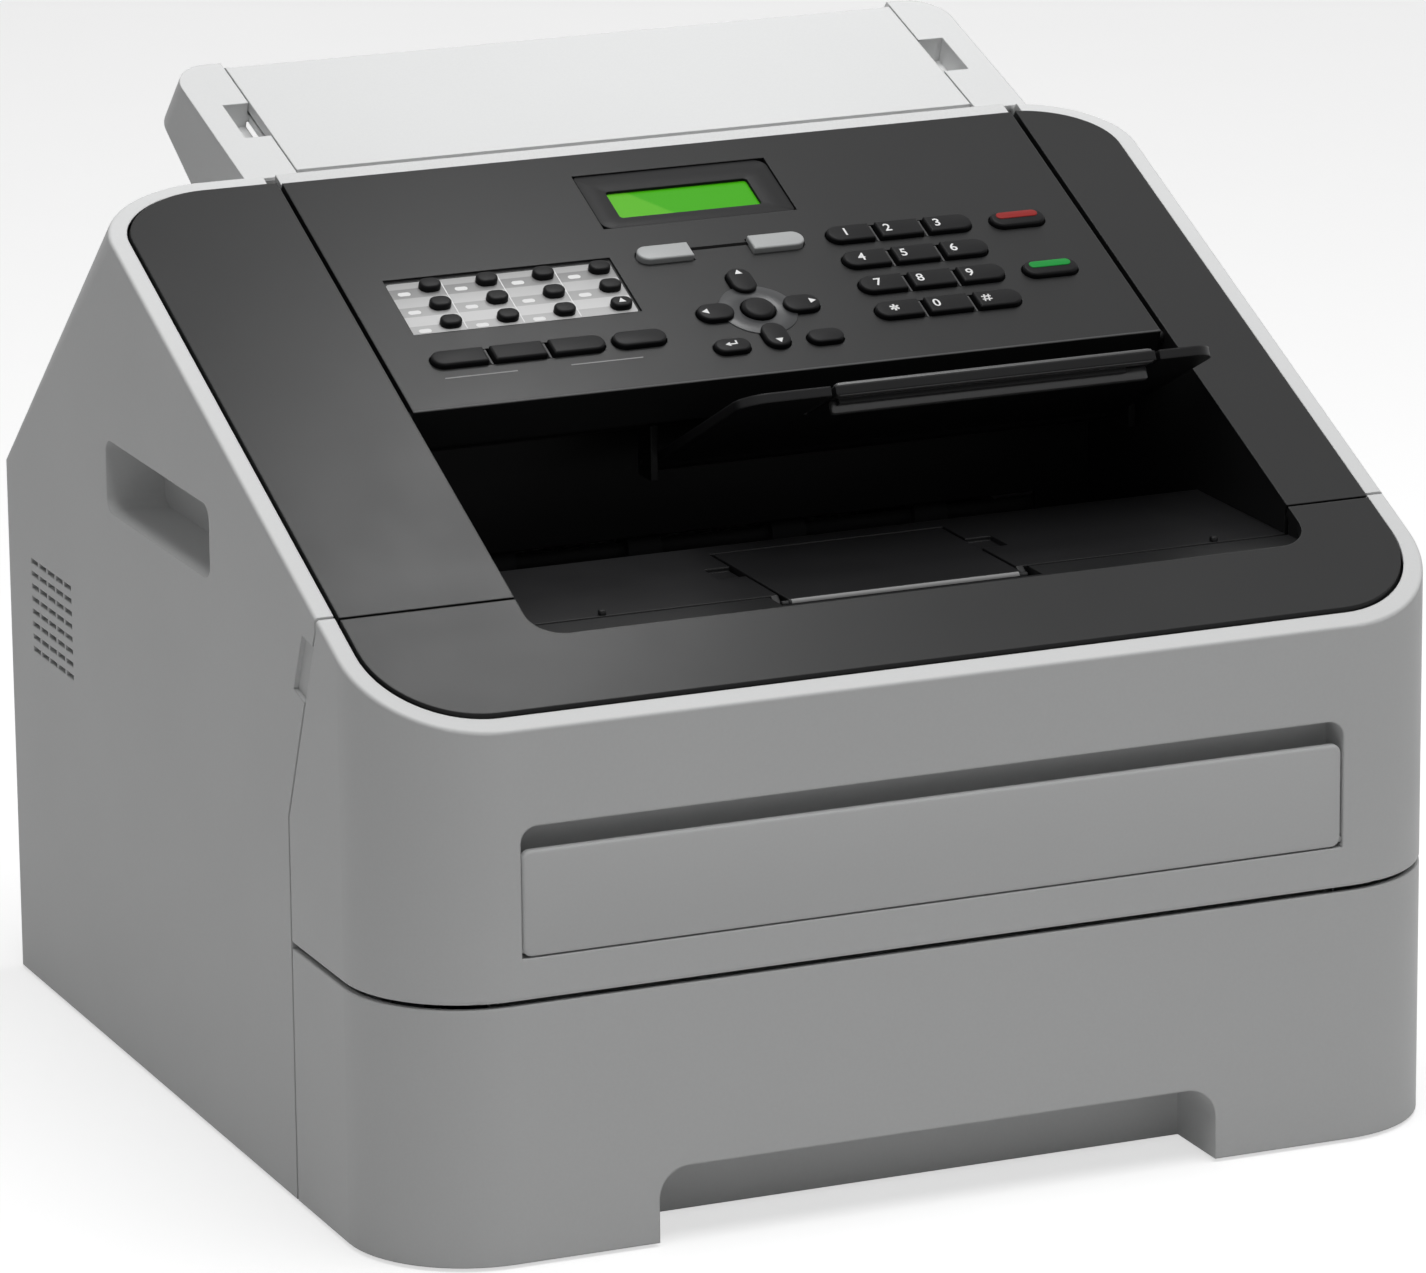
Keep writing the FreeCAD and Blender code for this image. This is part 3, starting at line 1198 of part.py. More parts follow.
def document_support():
    """Make the pale tray behind the ridge: wedge on the rear slope, flap pocket, notches and a hollow."""
    keel = "tray_keel_slope"
    end = ("tray_length + tray_end_run", "-tray_end_drop")
    nose = "(-3 * tray_wall)"
    points = [("0", "0"), ("tray_length", "0"), end,
              (nose, f"-tray_end_drop - {keel} * (tray_length + tray_end_run - {nose})")]
    wedge = prism("tray_wedge", points, ("-tray_left", "tray_right"))
    soft = soften("tray_soft", wedge, "tray_corner", tray_end)
    play = "doc_flap_play"
    pocket = box("tray_pocket", (f"-doc_flap_left - {play}", f"doc_flap_right + {play}"),
                 (nose, "2 * tray_length"), (f"-doc_flap_thickness - 2 * {play}", "wall"))
    notches = [box(f"tray_notch_{k}", span, ("notch_front", "notch_back"), ("-notch_depth", "wall"))
               for k, span in enumerate((("-doc_flap_left - notch_width", "-doc_flap_left"),
                                         ("doc_flap_right", "doc_flap_right + notch_width")))]
    skin = "(doc_flap_thickness + 2 * doc_flap_play + tray_wall)"
    inner = [(nose, f"-{skin}"), ("tray_length - tray_wall", f"-{skin}"),
             ("tray_length + tray_end_run - 2 * tray_wall", "-tray_end_drop"),
             ("tray_length + tray_end_run - 2 * tray_wall", "-4 * tray_end_drop"),
             (nose, "-4 * tray_end_drop")]
    hollow = prism("tray_hollow", inner, ("-doc_flap_left - doc_flap_play", "doc_flap_right + doc_flap_play"))
    pin_hole = rod("tray_pin_hole", "x", ("doc_flap_hinge", "-doc_flap_thickness / 2"),
                   "doc_flap_pin + bearing_play",
                   ("-doc_flap_left - 2 * doc_flap_pin_length", "doc_flap_right + 2 * doc_flap_pin_length"))
    tray = on_tray(cut("tray_raw", soft, pocket, hollow, *notches, pin_hole))
    high = f"({RIDGE_HEIGHT} + {REAR_FALL} * tray_end_drop)"
    slope = prism("tray_seat", [(BACK, "rear_wall_height"), ("ridge_back - tray_end_drop", high),
                                ("ridge_back - 3 * tray_end_drop", high),
                                ("ridge_back - 3 * tray_end_drop", "rear_wall_height")],
                  ("-tray_left - wall", "tray_right + wall"))
    return keep("document_support", cut("document_support", tray, slope))


def tray_end(edge):
    """Tell whether an edge is one of the two upright edges at the tray's far end."""
    near = size("tray_length") - 0.01
    return edge.BoundBox.XLength < 0.01 and edge.BoundBox.YMin > near and edge.BoundBox.ZLength > 1


def document_flap():
    """Make the lid in the document tray, hinged at its rear edge on two pins."""
    x = ("-doc_flap_left", "doc_flap_right")
    half = "(doc_flap_thickness / 2)"
    leaf = box("doc_flap_leaf", x, ("doc_flap_front", "doc_flap_hinge"), ("-doc_flap_thickness", "0"))
    edge = rod("doc_flap_edge", "x", ("doc_flap_hinge", f"-{half}"), half, x)
    pin = rod("doc_flap_pins", "x", ("doc_flap_hinge", f"-{half}"), "doc_flap_pin",
              ("-doc_flap_left - doc_flap_pin_length", "doc_flap_right + doc_flap_pin_length"))
    return keep("document_flap", on_tray(fuse("document_flap", leaf, edge, pin)))


def base_frame():
    """Make the chassis: side walls with bearings, seat plate, floor strips, rear flanges, arms and posts."""
    walls = []
    for k, hand in enumerate((-1, 1)):
        def span(near, far, hand=hand):
            return (f"-({far})", f"-({near})") if hand < 0 else (near, far)
        side = span("frame_half", FRAME_OUT)
        walls += [
            box(f"frame_side_{k}", side, ("-frame_front", "frame_back"), ("foot_height", "frame_top")),
            box(f"frame_ear_{k}", side, ("ear_low", "ear_high"), ("frame_top - wall", "ear_top")),
            box(f"frame_strip_{k}", span("frame_half", f"{HALF} - wall - seam_gap / 4"),
                (f"{SIDE_SEAM} + 2 * seam_gap", f"{INNER_BACK} - rear_corner"),
                ("foot_height", "foot_height + frame_plate")),
            box(f"frame_flange_{k}", span("frame_half", f"{HALF} - wall - rear_corner"),
                (f"{INNER_BACK} - frame_flange", INNER_BACK), ("foot_height", "frame_top")),
            box(f"frame_link_{k}", side, ("frame_back - wall", INNER_BACK), ("foot_height", "frame_top")),
            box(f"frame_arm_{k}", side, (f"{COVER_HINGE_Y} - pin_radius / 2", "-frame_front + wall"),
                (f"{COVER_HINGE_Z} - 0.8 * pin_radius", f"{COVER_HINGE_Z} - 0.8 * pin_radius + arm_height")),
            box(f"frame_runner_{k}", span("box_half + runner_play", "frame_half + wall"),
                ("-frame_front", "frame_back"),
                ("runner_low", "runner_low + runner_height")),
            rod(f"frame_pin_{k}", "x", (COVER_HINGE_Y, COVER_HINGE_Z), "pin_radius",
                span("frame_half", f"{FRAME_OUT} + seam_gap + cover_ear")),
        ]
    seat = box("frame_seat_plate", ("-frame_half", "frame_half"), ("-frame_plate_front", "frame_back"),
               ("frame_seat - frame_plate", "frame_seat"))
    rear = box("frame_rear_plate", ("-frame_half", "frame_half"), ("frame_back - frame_plate", "frame_back"),
               ("frame_seat - frame_plate", "frame_top"))
    rear_way = box("frame_rear_way", ("-fuser_half", "fuser_half"),
                   ("frame_back - 3 * frame_plate", "frame_back + frame_plate"),
                   ("frame_seat + 2 * frame_plate", "frame_top - 3 * frame_plate"))
    nip_way = box("frame_nip_way", ("-fuser_half - seam_gap", "fuser_half + seam_gap"),
                  ("fuser_back - fuser_radius - seam_gap", "fuser_back + fuser_radius + seam_gap"),
                  ("frame_seat - 2 * frame_plate", "frame_seat + frame_plate"))
    stud = rod("frame_stud", "x", ("gear_back", "gear_height"), "gear_bore",
               (f"{GEAR_X} - gear_width - gear_stand", f"-{FRAME_OUT} + wall"))
    collar = rod("frame_collar", "x", ("gear_back", "gear_height"), "2 * gear_bore",
                 (f"{GEAR_X} + seam_gap / 4", f"-{FRAME_OUT} + wall"))
    posts = [rod(f"frame_post_{k}", "x", place, "boss_radius",
                 (f"{FRAME_OUT} - wall", f"{FRAME_OUT} + board_stand"))
             for k, place in enumerate(((f"-main_front + board_margin", "main_low + board_margin"),
                                        (f"-main_front + board_margin", "main_high - board_margin"),
                                        ("main_back - board_margin", "main_low + board_margin"),
                                        ("main_back - board_margin", "main_high - board_margin")))]
    posts += [rod(f"frame_power_post_{k}", "x", place, "boss_radius",
                  (f"-{FRAME_OUT} - board_stand", f"-{FRAME_OUT} + wall"))
              for k, place in enumerate((("power_front + board_margin", "power_low + board_margin"),
                                         ("power_front + board_margin", "power_high - board_margin"),
                                         ("power_back - board_margin", "power_low + board_margin"),
                                         ("power_back - board_margin", "power_high - board_margin")))]
    bores = [rod(f"frame_bore_{k}", "x", place, f"{radius} + bearing_play",
                 (f"-{FRAME_OUT} - wall", f"{FRAME_OUT} + wall"))
             for k, (place, radius) in enumerate(((("-pickup_back", "pickup_height"), "pickup_shaft"),
                                                  (("fuser_back", "fuser_height"), "fuser_shaft"),
                                                  (("fuser_back", PRESSURE_Z), "fuser_shaft"),
                                                  (("eject_back", "eject_height"), "eject_shaft")))]
    screws = [rod(f"frame_thread_{hand}_{k}", "y", (f"{hand} * screw_x", height), "screw_radius",
                  (f"{INNER_BACK} - 2 * frame_flange", f"{BACK}"))
              for hand in (-1, 1) for k, height in enumerate(("screw_low", "screw_high"))]
    inlet = box("frame_inlet", (f"-{HALF}", f"-{HALF} + wall + inlet_width + seam_gap"),
                (f"{INNER_BACK} - 2 * frame_flange", BACK),
                ("inlet_low - seam_gap", "inlet_low + inlet_height + seam_gap"))
    sockets = box("frame_sockets", (f"{SOCKET_X} - seam_gap", f"{SOCKET_X} + socket_width + seam_gap"),
                  (f"{INNER_BACK} - 2 * frame_flange", BACK),
                  ("socket_low - seam_gap", f"{SOCKET_LOWS[1]} + socket_width + seam_gap"))
    body = fuse("frame_body", *walls, seat, rear, stud, collar, *posts)
    return keep("base_frame", cut("base_frame", body, rear_way, nip_way, *bores, *screws, inlet, sockets))


PRESSURE_Z = "(fuser_height - 2 * fuser_radius - nip_gap)"


def paper_cassette(shell_front):
    """Make the cassette: front panel with its finger cut-out, paper box and the ramp before the paper."""
    skin = common("cassette_skin", shell_front, box("cassette_zone", (f"-{HALF}", HALF), (FRONT, BACK),
                                                     ("foot_height", "cassette_height")))
    top = "cassette_height"
    shelf = box("cassette_shelf", ("-box_half", "box_half"), (f"{FRONT} + wall / 2", "-box_front"),
                (f"{top} - 2 * box_wall", f"{top} - box_wall"))
    block = box("cassette_block", ("-box_half", "box_half"), ("-box_front - box_wall", "box_back"),
                ("box_low", "box_high"))
    hollow = box("cassette_hollow", ("-box_half + box_wall", "box_half - box_wall"),
                 ("-box_front + box_wall", "box_back - box_wall"),
                 ("box_low + box_wall", "cassette_height"))
    riser = box("cassette_riser", ("-box_half", "box_half"), ("-box_front - box_wall", "-box_front"),
                ("box_low", f"{top} - box_wall"))
    runners = [box(f"cassette_runner_{k}", span, ("-box_front", "box_back"),
                   ("runner_low + runner_height + runner_play",
                    "runner_low + runner_height + runner_play + box_wall"))
               for k, span in enumerate((("-frame_half + runner_play", "-box_half + box_wall / 2"),
                                         ("box_half - box_wall / 2", "frame_half - runner_play")))]
    back = f"({FRONT} + finger_depth)"
    shroud = box("finger_shroud", ("-finger_half - box_wall", "finger_half + box_wall"),
                 (f"{FRONT} + wall / 2", f"{back} + box_wall"),
                 ("foot_height", "finger_height + box_wall"))
    scoop = box("finger_scoop", ("-finger_half", "finger_half"), (f"{FRONT} - wall", back),
                ("-finger_height", "finger_height"))
    soft = soften("finger_soft", scoop, "finger_corner", along_y)
    lugs = [box(f"plate_lug_{k}", span, ("-plate_back - 2 * plate_pivot", "-plate_back + 2 * plate_pivot"),
                ("box_low", f"{PLATE_PIVOT_Z} + plate_pivot"))
            for k, span in enumerate((("-plate_half - 2 * box_wall", "-plate_half - box_wall / 4"),
                                      ("plate_half + box_wall / 4", "plate_half + 2 * box_wall")))]
    pivot = rod("plate_pivot_hole", "x", ("-plate_back", PLATE_PIVOT_Z), "plate_pivot / 2 + bearing_play",
                ("-plate_half - 3 * box_wall", "plate_half + 3 * box_wall"))
    body = cut("cassette_open", fuse("cassette_body", skin, block, riser, shelf, shroud), hollow, soft)
    return keep("paper_cassette",
                cut("paper_cassette", fuse("cassette_lugged", body, *runners, *lugs), pivot))


PLATE_PIVOT_Z = "(box_low + box_wall + plate_pivot)"


def lift_plate():
    """Make the steel plate under the paper, with two rolled knuckles at its rear."""
    low = f"({PLATE_PIVOT_Z} - plate_thickness / 2)"
    leaf = box("plate_leaf", ("-plate_half + seam_gap", "plate_half - seam_gap"),
               ("-plate_front", "-plate_back"),
               (low, f"{low} + plate_thickness"))
    tabs = [box(f"plate_tab_{k}", span, ("-plate_back - 4 * plate_pivot", "-plate_back"),
                (low, f"{low} + plate_thickness"))
            for k, span in enumerate((("-plate_half + bearing_play", "-plate_half + 3 * seam_gap"),
                                      ("plate_half - 3 * seam_gap", "plate_half - bearing_play")))]
    knuckle = rod("plate_knuckle", "x", ("-plate_back", PLATE_PIVOT_Z),
                  "plate_pivot / 2 + plate_thickness / 2",
                  ("-plate_half + bearing_play", "plate_half - bearing_play"))
    pins = rod("plate_pins", "x", ("-plate_back", PLATE_PIVOT_Z), "plate_pivot / 2",
               ("-plate_half - 1.5 * box_wall", "plate_half + 1.5 * box_wall"))
    return keep("lift_plate", fuse("lift_plate", leaf, *tabs, knuckle, pins))


def side_guide(name, hand):
    """Make one of the two paper guides of the cassette; hand is -1 or 1."""
    def span(near, far):
        return (f"-({far})", f"-({near})") if hand < 0 else (near, far)
    low = "(box_low + box_wall + bearing_play)"
    fence = box(f"{name}_fence", span("guide_half", "guide_half + guide_wall"), ("guide_front", "guide_back"),
                (low, "guide_high"))
    foot = box(f"{name}_foot", span("guide_half", "guide_half + guide_foot"),
               ("guide_front + guide_foot", "guide_back - guide_foot"),
               (low, f"{low} + guide_wall"))
    grip = box(f"{name}_grip", span("guide_half", "guide_half + 3 * guide_wall"),
               ("(guide_front + guide_back) / 2 - guide_wall", "(guide_front + guide_back) / 2 + guide_wall"),
               (low, "guide_high"))
    return keep(name, fuse(name, fence, foot, grip))


def rollers():
    """Make the rollers with their shafts and gears."""
    inner = "(frame_half - seam_gap)"
    shaft_end = f"({FRAME_OUT} + wall)"
    pickup = fuse("pickup_roller",
                  rod("pickup_tyre", "x", ("-pickup_back", "pickup_height"), "pickup_radius",
                      (f"{PANEL_MID} - pickup_length / 2", f"{PANEL_MID} + pickup_length / 2")),
                  rod("pickup_axle", "x", ("-pickup_back", "pickup_height"), "pickup_shaft",
                      (f"-{shaft_end}", shaft_end)))
    keep("pickup_roller", pickup)
    fuser = fuse("fuser_roller",
                 rod("fuser_drum", "x", ("fuser_back", "fuser_height"), "fuser_radius",
                     ("-fuser_half", "fuser_half")),
                 rod("fuser_axle", "x", ("fuser_back", "fuser_height"), "fuser_shaft",
                     (f"{GEAR_X} - gear_width", shaft_end)),
                 gear("fuser_wheel", "fuser_gear", 22, "fuser_shaft", f"{GEAR_X} - gear_width",
                      ("fuser_back", "fuser_height")))
    keep("fuser_roller", fuser)
    pressure = fuse("pressure_roller",
                    rod("pressure_drum", "x", ("fuser_back", PRESSURE_Z), "fuser_radius - nip_gap",
                        ("-fuser_half", "fuser_half")),
                    rod("pressure_axle", "x", ("fuser_back", PRESSURE_Z), "fuser_shaft",
                        (f"-{inner} - frame_wall", f"{inner} + frame_wall")))
    keep("pressure_roller", pressure)
    tyres = [rod(f"eject_tyre_{k}", "x", ("eject_back", "eject_height"), "eject_radius",
                 (f"{PANEL_MID} + {place} * eject_half - eject_radius",
                  f"{PANEL_MID} + {place} * eject_half + eject_radius"))
             for k, place in enumerate((-0.75, -0.25, 0.25, 0.75))]
    eject = fuse("eject_roller", *tyres,
                 rod("eject_axle", "x", ("eject_back", "eject_height"), "eject_shaft",
                     (f"{GEAR_X} - gear_width", shaft_end)),
                 gear("eject_wheel", EJECT_TIP, 34, "eject_shaft", f"{GEAR_X} - gear_width",
                      ("eject_back", "eject_height")))
    keep("eject_roller", eject)
    keep("drive_gear",
         gear("drive_gear", DRIVE_TIP, 40, "gear_bore + bearing_play", f"{GEAR_X} - gear_width",
              ("gear_back", "gear_height")))
    span = (f"{PANEL_MID} - doc_roller_half", f"{PANEL_MID} + doc_roller_half")
    document = fuse("document_roller",
                    rod("document_drum", "x", ("doc_roller_s", "-doc_roller_depth"), "doc_roller_radius",
                        span),
                    rod("document_axle", "x", ("doc_roller_s", "-doc_roller_depth"), "doc_roller_shaft",
                        (DOC_ROLLER_EARS[0][0], DOC_ROLLER_EARS[1][1])))
    keep("document_roller", on_deck(document))


GEAR_REACH = "sqrt((fuser_back - gear_back)^2 + (fuser_height - gear_height)^2)"
EJECT_REACH = "sqrt((gear_back - eject_back)^2 + (eject_height - gear_height)^2)"
DRIVE_TIP = f"({GEAR_REACH} - fuser_gear - gear_mesh_gap)"
EJECT_TIP = f"({EJECT_REACH} - {GEAR_REACH} + fuser_gear)"


def engine():
    """Make the toner cartridge, the drum unit, the laser unit and the scan bar."""
    seat = "frame_seat"
    toner = prism("toner_hopper",
                  [("-toner_front", "toner_chin"), ("-toner_front + 4 * wall", seat), ("-toner_back", seat),
                   ("-toner_back", "toner_top - 8 * wall"), ("-toner_back - 6 * wall", "toner_top"),
                   ("-toner_front + 8 * wall", "toner_top"), ("-toner_front", "toner_top - 8 * wall")],
                  ("-toner_half", "toner_half"))
    grip = box("toner_grip", ("-toner_half / 4", "toner_half / 4"),
               ("-toner_front - 4 * wall", "-toner_front + wall"),
               ("toner_chin + 4 * wall", "toner_chin + 6 * wall"))
    keep("toner_cartridge", fuse("toner_cartridge", toner, grip))
    block = box("drum_block", ("-drum_half", "drum_half"), ("-drum_front", "drum_back"), (seat, "drum_top"))
    trough = rod("drum_trough", "x", (DRUM_Y, DRUM_Z), "drum_radius + wall",
                 ("-drum_half + 2 * wall", "drum_half - 2 * wall"))
    mouth = box("drum_mouth", ("-drum_half + 2 * wall", "drum_half - 2 * wall"),
                (f"{DRUM_Y} - drum_radius", f"{DRUM_Y} + drum_radius"),
                (DRUM_Z, "drum_top + wall"))
    drum = rod("drum", "x", (DRUM_Y, DRUM_Z), "drum_radius", ("-drum_half + wall", "drum_half - wall"))
    keep("drum_unit", fuse("drum_unit", cut("drum_frame", block, trough, mouth), drum))
    body = box("laser_body", ("-laser_half", "laser_half"), ("-laser_front", "laser_back"),
               ("laser_low", "laser_high"))
    plate = box("laser_plate_box", ("-frame_half + bearing_play", "frame_half - bearing_play"),
                ("-laser_front - wall", "laser_back - 6 * wall"),
                ("laser_low", "laser_low + laser_plate"))
    keep("laser_unit", fuse("laser_unit", body, plate))
    keep("scan_bar",
         slab("scan_bar", (f"{PANEL_MID} - scan_half", f"{PANEL_MID} + scan_half"),
              ("scan_front", "scan_back"), (BED_TOP, "-scan_top")))


DRUM_Y = "((drum_back - drum_front) / 2)"
DRUM_Z = "(frame_seat + drum_radius + 2 * wall)"


def electronics():
    """Make the drive motor, the main board with its sockets and the power supply with its inlet."""
    base = f"-{FRAME_OUT}"
    place = ("-motor_back", "motor_height")
    motor = fuse("drive_motor",
                 rod("motor_can_body", "x", place, "motor_radius",
                     (f"{base} - motor_stand - motor_can", f"{base} - motor_stand")),
                 box("motor_bracket", (f"{base} - motor_stand", f"{base} - motor_stand + wall"),
                     ("-motor_back - 1.4 * motor_radius", "-motor_back + 1.4 * motor_radius"),
                     ("motor_height - motor_radius", "motor_height + motor_radius")),
                 *[rod(f"motor_leg_{k}", "x", (f"-motor_back + {hand} * 1.2 * motor_radius", "motor_height"),
                       "boss_radius",
                       (f"{base} - motor_stand", base)) for k, hand in enumerate((-1, 1))])
    keep("drive_motor", motor)
    board = box("main_card", (SOCKET_X, f"{SOCKET_X} + board_thickness"), ("-main_front", "main_back"),
                ("main_low", "main_high"))
    sockets = []
    for k, low in enumerate(SOCKET_LOWS):
        shell = box(f"socket_{k}", (SOCKET_X, f"{SOCKET_X} + socket_width - seam_gap / 2"),
                    (f"{BACK} - socket_depth - wall / 2", f"{BACK} - wall / 2"),
                    (f"{low} + seam_gap / 4", f"{low} + socket_width - seam_gap / 4"))
        bore = box(f"socket_bore_{k}",
                   (f"{SOCKET_X} + board_thickness", f"{SOCKET_X} + socket_width - 2 * board_thickness"),
                   (f"{BACK} - socket_depth + wall", BACK),
                   (f"{low} + board_thickness", f"{low} + socket_width - 2 * board_thickness"))
        sockets.append(cut(f"socket_open_{k}", shell, bore))
    chips = [box(f"chip_{k}", (SOCKET_X, f"{SOCKET_X} + board_thickness + wall"), (y, f"{y} + 9 * wall"),
                 (z, f"{z} + 9 * wall"))
             for k,
             (y,
              z) in enumerate((("-main_front + 8 * wall", "main_high - 20 * wall"),
                               ("main_back / 3", "main_low + 8 * wall"),
                               ("main_back / 3", "main_high - 18 * wall")))]
    keep("main_board", fuse("main_board", board, *sockets, *chips))
    card = box("power_card", (f"{base} - board_stand - board_thickness", f"{base} - board_stand"),
               ("power_front", "power_back"),
               ("power_low", "power_high"))
    coil = box("power_coil", (f"{base} - board_stand - 8 * wall", f"{base} - board_stand"),
               ("power_front + 4 * wall", "power_front + 14 * wall"),
               ("power_high - 16 * wall", "power_high - 4 * wall"))
    inlet = box("power_inlet",
                (f"-{HALF} + wall + seam_gap / 4", f"-{HALF} + wall + inlet_width - seam_gap / 4"),
                (f"{BACK} - inlet_depth - wall", f"{BACK} - wall / 2"),
                ("inlet_low + seam_gap / 4", "inlet_low + inlet_height - seam_gap / 4"))
    room = box("power_inlet_room", (f"-{HALF} + 2 * wall", f"-{HALF} + inlet_width"),
               (f"{BACK} - inlet_recess - wall", BACK),
               ("inlet_low + wall", "inlet_low + inlet_height - wall"))
    blades = [box(f"power_blade_{k}",
                  (f"-{HALF} + wall + inlet_width / 2 + {step} * inlet_width / 4 - board_thickness / 2",
                   f"-{HALF} + wall + inlet_width / 2 + {step} * inlet_width / 4 + board_thickness / 2"),
                  (f"{BACK} - inlet_depth", f"{BACK} - 2 * wall"),
                  ("inlet_low + inlet_height / 2 - board_thickness",
                   "inlet_low + inlet_height / 2 + board_thickness"))
              for k, step in enumerate((-1, 0, 1))]
    keep("power_supply", fuse("power_supply", card, coil, cut("power_inlet_open", inlet, room), *blades))


def feet_and_screws():
    """Make the four rubber feet and the four screws of the side covers, each set as one piece."""
    feet = [rod(f"foot_{k}", "z", (f"{u} * (width / 2 - foot_inset_x)", y), "foot_radius",
                ("0", "foot_height"))
            for k,
            (u, y) in enumerate(((-1, f"{SIDE_SEAM} + foot_inset_y"), (1, f"{SIDE_SEAM} + foot_inset_y"),
                                 (-1, "depth / 2 - foot_inset_y"), (1, "depth / 2 - foot_inset_y")))]
    keep("rubber_feet", group("rubber_feet", feet))
    screws = []
    for hand in (-1, 1):
        for height in ("screw_low", "screw_high"):
            place = (f"{hand} * screw_x", height)
            tag = f"{len(screws)}"
            screws.append(fuse(f"screw_{tag}",
                               rod(f"screw_shank_{tag}", "y", place, "screw_radius",
                                   (f"{BACK} - screw_length", BACK + " - screw_head_height / 2")),
                               rod(f"screw_head_{tag}", "y", place, "screw_head",
                                   (f"{BACK} - screw_head_height", f"{BACK} - screw_head_height / 8"))))
    keep("cover_screws", group("cover_screws", screws))


def keys():
    """Make every key and return the holes that the panel needs for them."""
    holes = []
    for row in range(4):
        s = f"dial_s + {1.5 - row} * dial_pitch_s"
        for column in range(3):
            digit = DIAL[row][column]
            x = f"dial_x + {column - 1} * dial_pitch_x"
            keep(f"dial_key_{digit}",
                 pill(f"dial_key_{digit}", x, s, "dial_length", "dial_width", column == 0, column == 2))
        holes += window(f"hole_dial_{row}", "dial_x", s, "dial_length + 2 * dial_pitch_x", "dial_width")
    singles = [("stop_key", "side_key_x", "stop_s", "side_key_length", "side_key_width", True, True),
               ("start_key", "side_key_x", "start_s", "side_key_length", "side_key_width", True, True),
               ("left_key", "nav_x - nav_reach", "nav_s", "nav_length", "nav_width", True, True),
               ("right_key", "nav_x + nav_reach", "nav_s", "nav_length", "nav_width", True, True),
               ("clear_key", "nav_x - small_key_reach", "small_key_s", "small_key_length", "small_key_width",
                True, True),
               ("menu_key", "nav_x + small_key_reach", "small_key_s", "small_key_length", "small_key_width",
                True, True),
               ("fax_mode_key", "nav_x - mode_reach", "mode_s", "mode_length", "mode_width", True, False),
               ("copy_mode_key", "nav_x + mode_reach", "mode_s", "mode_length", "mode_width", False, True)]
    for name, x, s, length, width, left, right in singles:
        keep(name, pill(name, x, s, length, width, left, right))
        holes += window(f"hole_{name}", x, s, length, width, left, right)
    for name, s in (("up_key", "nav_s + nav_reach"), ("down_key", "nav_s - nav_reach")):
        keep(name, tall_pill(name, "nav_x", s, "nav_length", "nav_width"))
        holes += tall_window(f"hole_{name}", "nav_x", s, "nav_length", "nav_width")
    keep("ok_key", peg("ok_key", "nav_x", "nav_s", "ok_radius", ("-key_root", KEY_TOP)))
    holes.append(rod("hole_ok", "z", ("nav_x", "nav_s"), "ok_radius + key_play",
                     ("-2 * deck_thickness", "2 * deck_thickness")))
    functions = []
    for k in range(3):
        x = f"-function_x + {k - 1} * function_pitch"
        functions.append(pill(f"function_{k}", x, "function_s", "function_length", "function_width", k == 0,
                              k == 2))
    functions.append(pill("function_options", "-options_x", "function_s", "options_length", "function_width"))
    holes += window("hole_functions", "-function_x", "function_s", "function_length + 2 * function_pitch",
                    "function_width")
    holes += window("hole_options", "-options_x", "function_s", "options_length", "function_width")
    keep("function_keys", group("function_keys", functions))
    memory = []
    for row in range(3):
        for column in range(4):
            x = f"-memory_x + {column - 1.5} * memory_pitch_x"
            s = f"memory_s + {1 - row} * memory_pitch_s"
            memory.append(pill(f"memory_{row}_{column}", x, s, "memory_length", "memory_width"))
            holes += window(f"hole_memory_{row}_{column}", x, s, "memory_length", "memory_width")
    keep("one_touch_keys", group("one_touch_keys", memory))
    return holes


DIAL = (("1", "2", "3"), ("4", "5", "6"), ("7", "8", "9"), ("star", "0", "hash"))


def build():
    """Make every piece of the machine."""
    shell_front, shell_back = casing()
    side_cover("left_side_cover", shell_back, -1, "well_left + well_wall + seam_gap / 2")
    side_cover("right_side_cover", shell_back, 1, "well_right + well_wall + seam_gap / 2")
    rear_housing(shell_back)
    rear_cover()
    front_cover(shell_front)
    manual_door()
    plate = deck_plate()
    front_deck(plate)
    top_cover(plate)
    output_tray()
    output_flap()
    document_output_flap()
    control_panel(keys())
    display_board()
    document_support()
    document_flap()
    base_frame()
    paper_cassette(shell_front)
    lift_plate()
    side_guide("left_side_guide", -1)
    side_guide("right_side_guide", 1)
    rollers()
    engine()
    electronics()
    feet_and_screws()


def check():
    """Stop where an object failed or a piece is not a sound solid."""
    for item in doc.Objects:
        if "Invalid" in item.State or "Error" in item.State:
            raise RuntimeError(f"{item.Name} failed: {item.State}")
    for name, item in pieces.items():
        shape = item.Shape
        if shape.isNull() or not shape.isValid() or not shape.Solids:
            raise RuntimeError(f"{name} is not a sound solid")


build()
doc.recompute()
check()
os.makedirs("parts", exist_ok=True)
for name, item in pieces.items():
    item.Shape.exportStep(f"parts/{name}.step")
    bounds = item.Shape.optimalBoundingBox(False)
    print(f"{name}: {len(item.Shape.Solids)} solids, {item.Shape.Volume / 1000:.1f} cm3, "
          f"x {bounds.XMin:.1f}..{bounds.XMax:.1f} y {bounds.YMin:.1f}..{bounds.YMax:.1f} "
          f"z {bounds.ZMin:.1f}..{bounds.ZMax:.1f}")
print(f"{len(pieces)} pieces")
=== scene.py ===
"""Dressed model of a compact laser fax machine: finishes, keys, display, trim and studio.

Lengths in the sub-assemblies are millimetres and become metres where a mesh is made. The sloped top
has a frame of its own: x to the right, s up the slope from the front edge, n out of the slope.
"""
import logging
import math
from collections.abc import Callable, Sequence
from dataclasses import dataclass, replace
from enum import Enum
from functools import cache

import bmesh
import bpy
from mathutils import Matrix, Vector


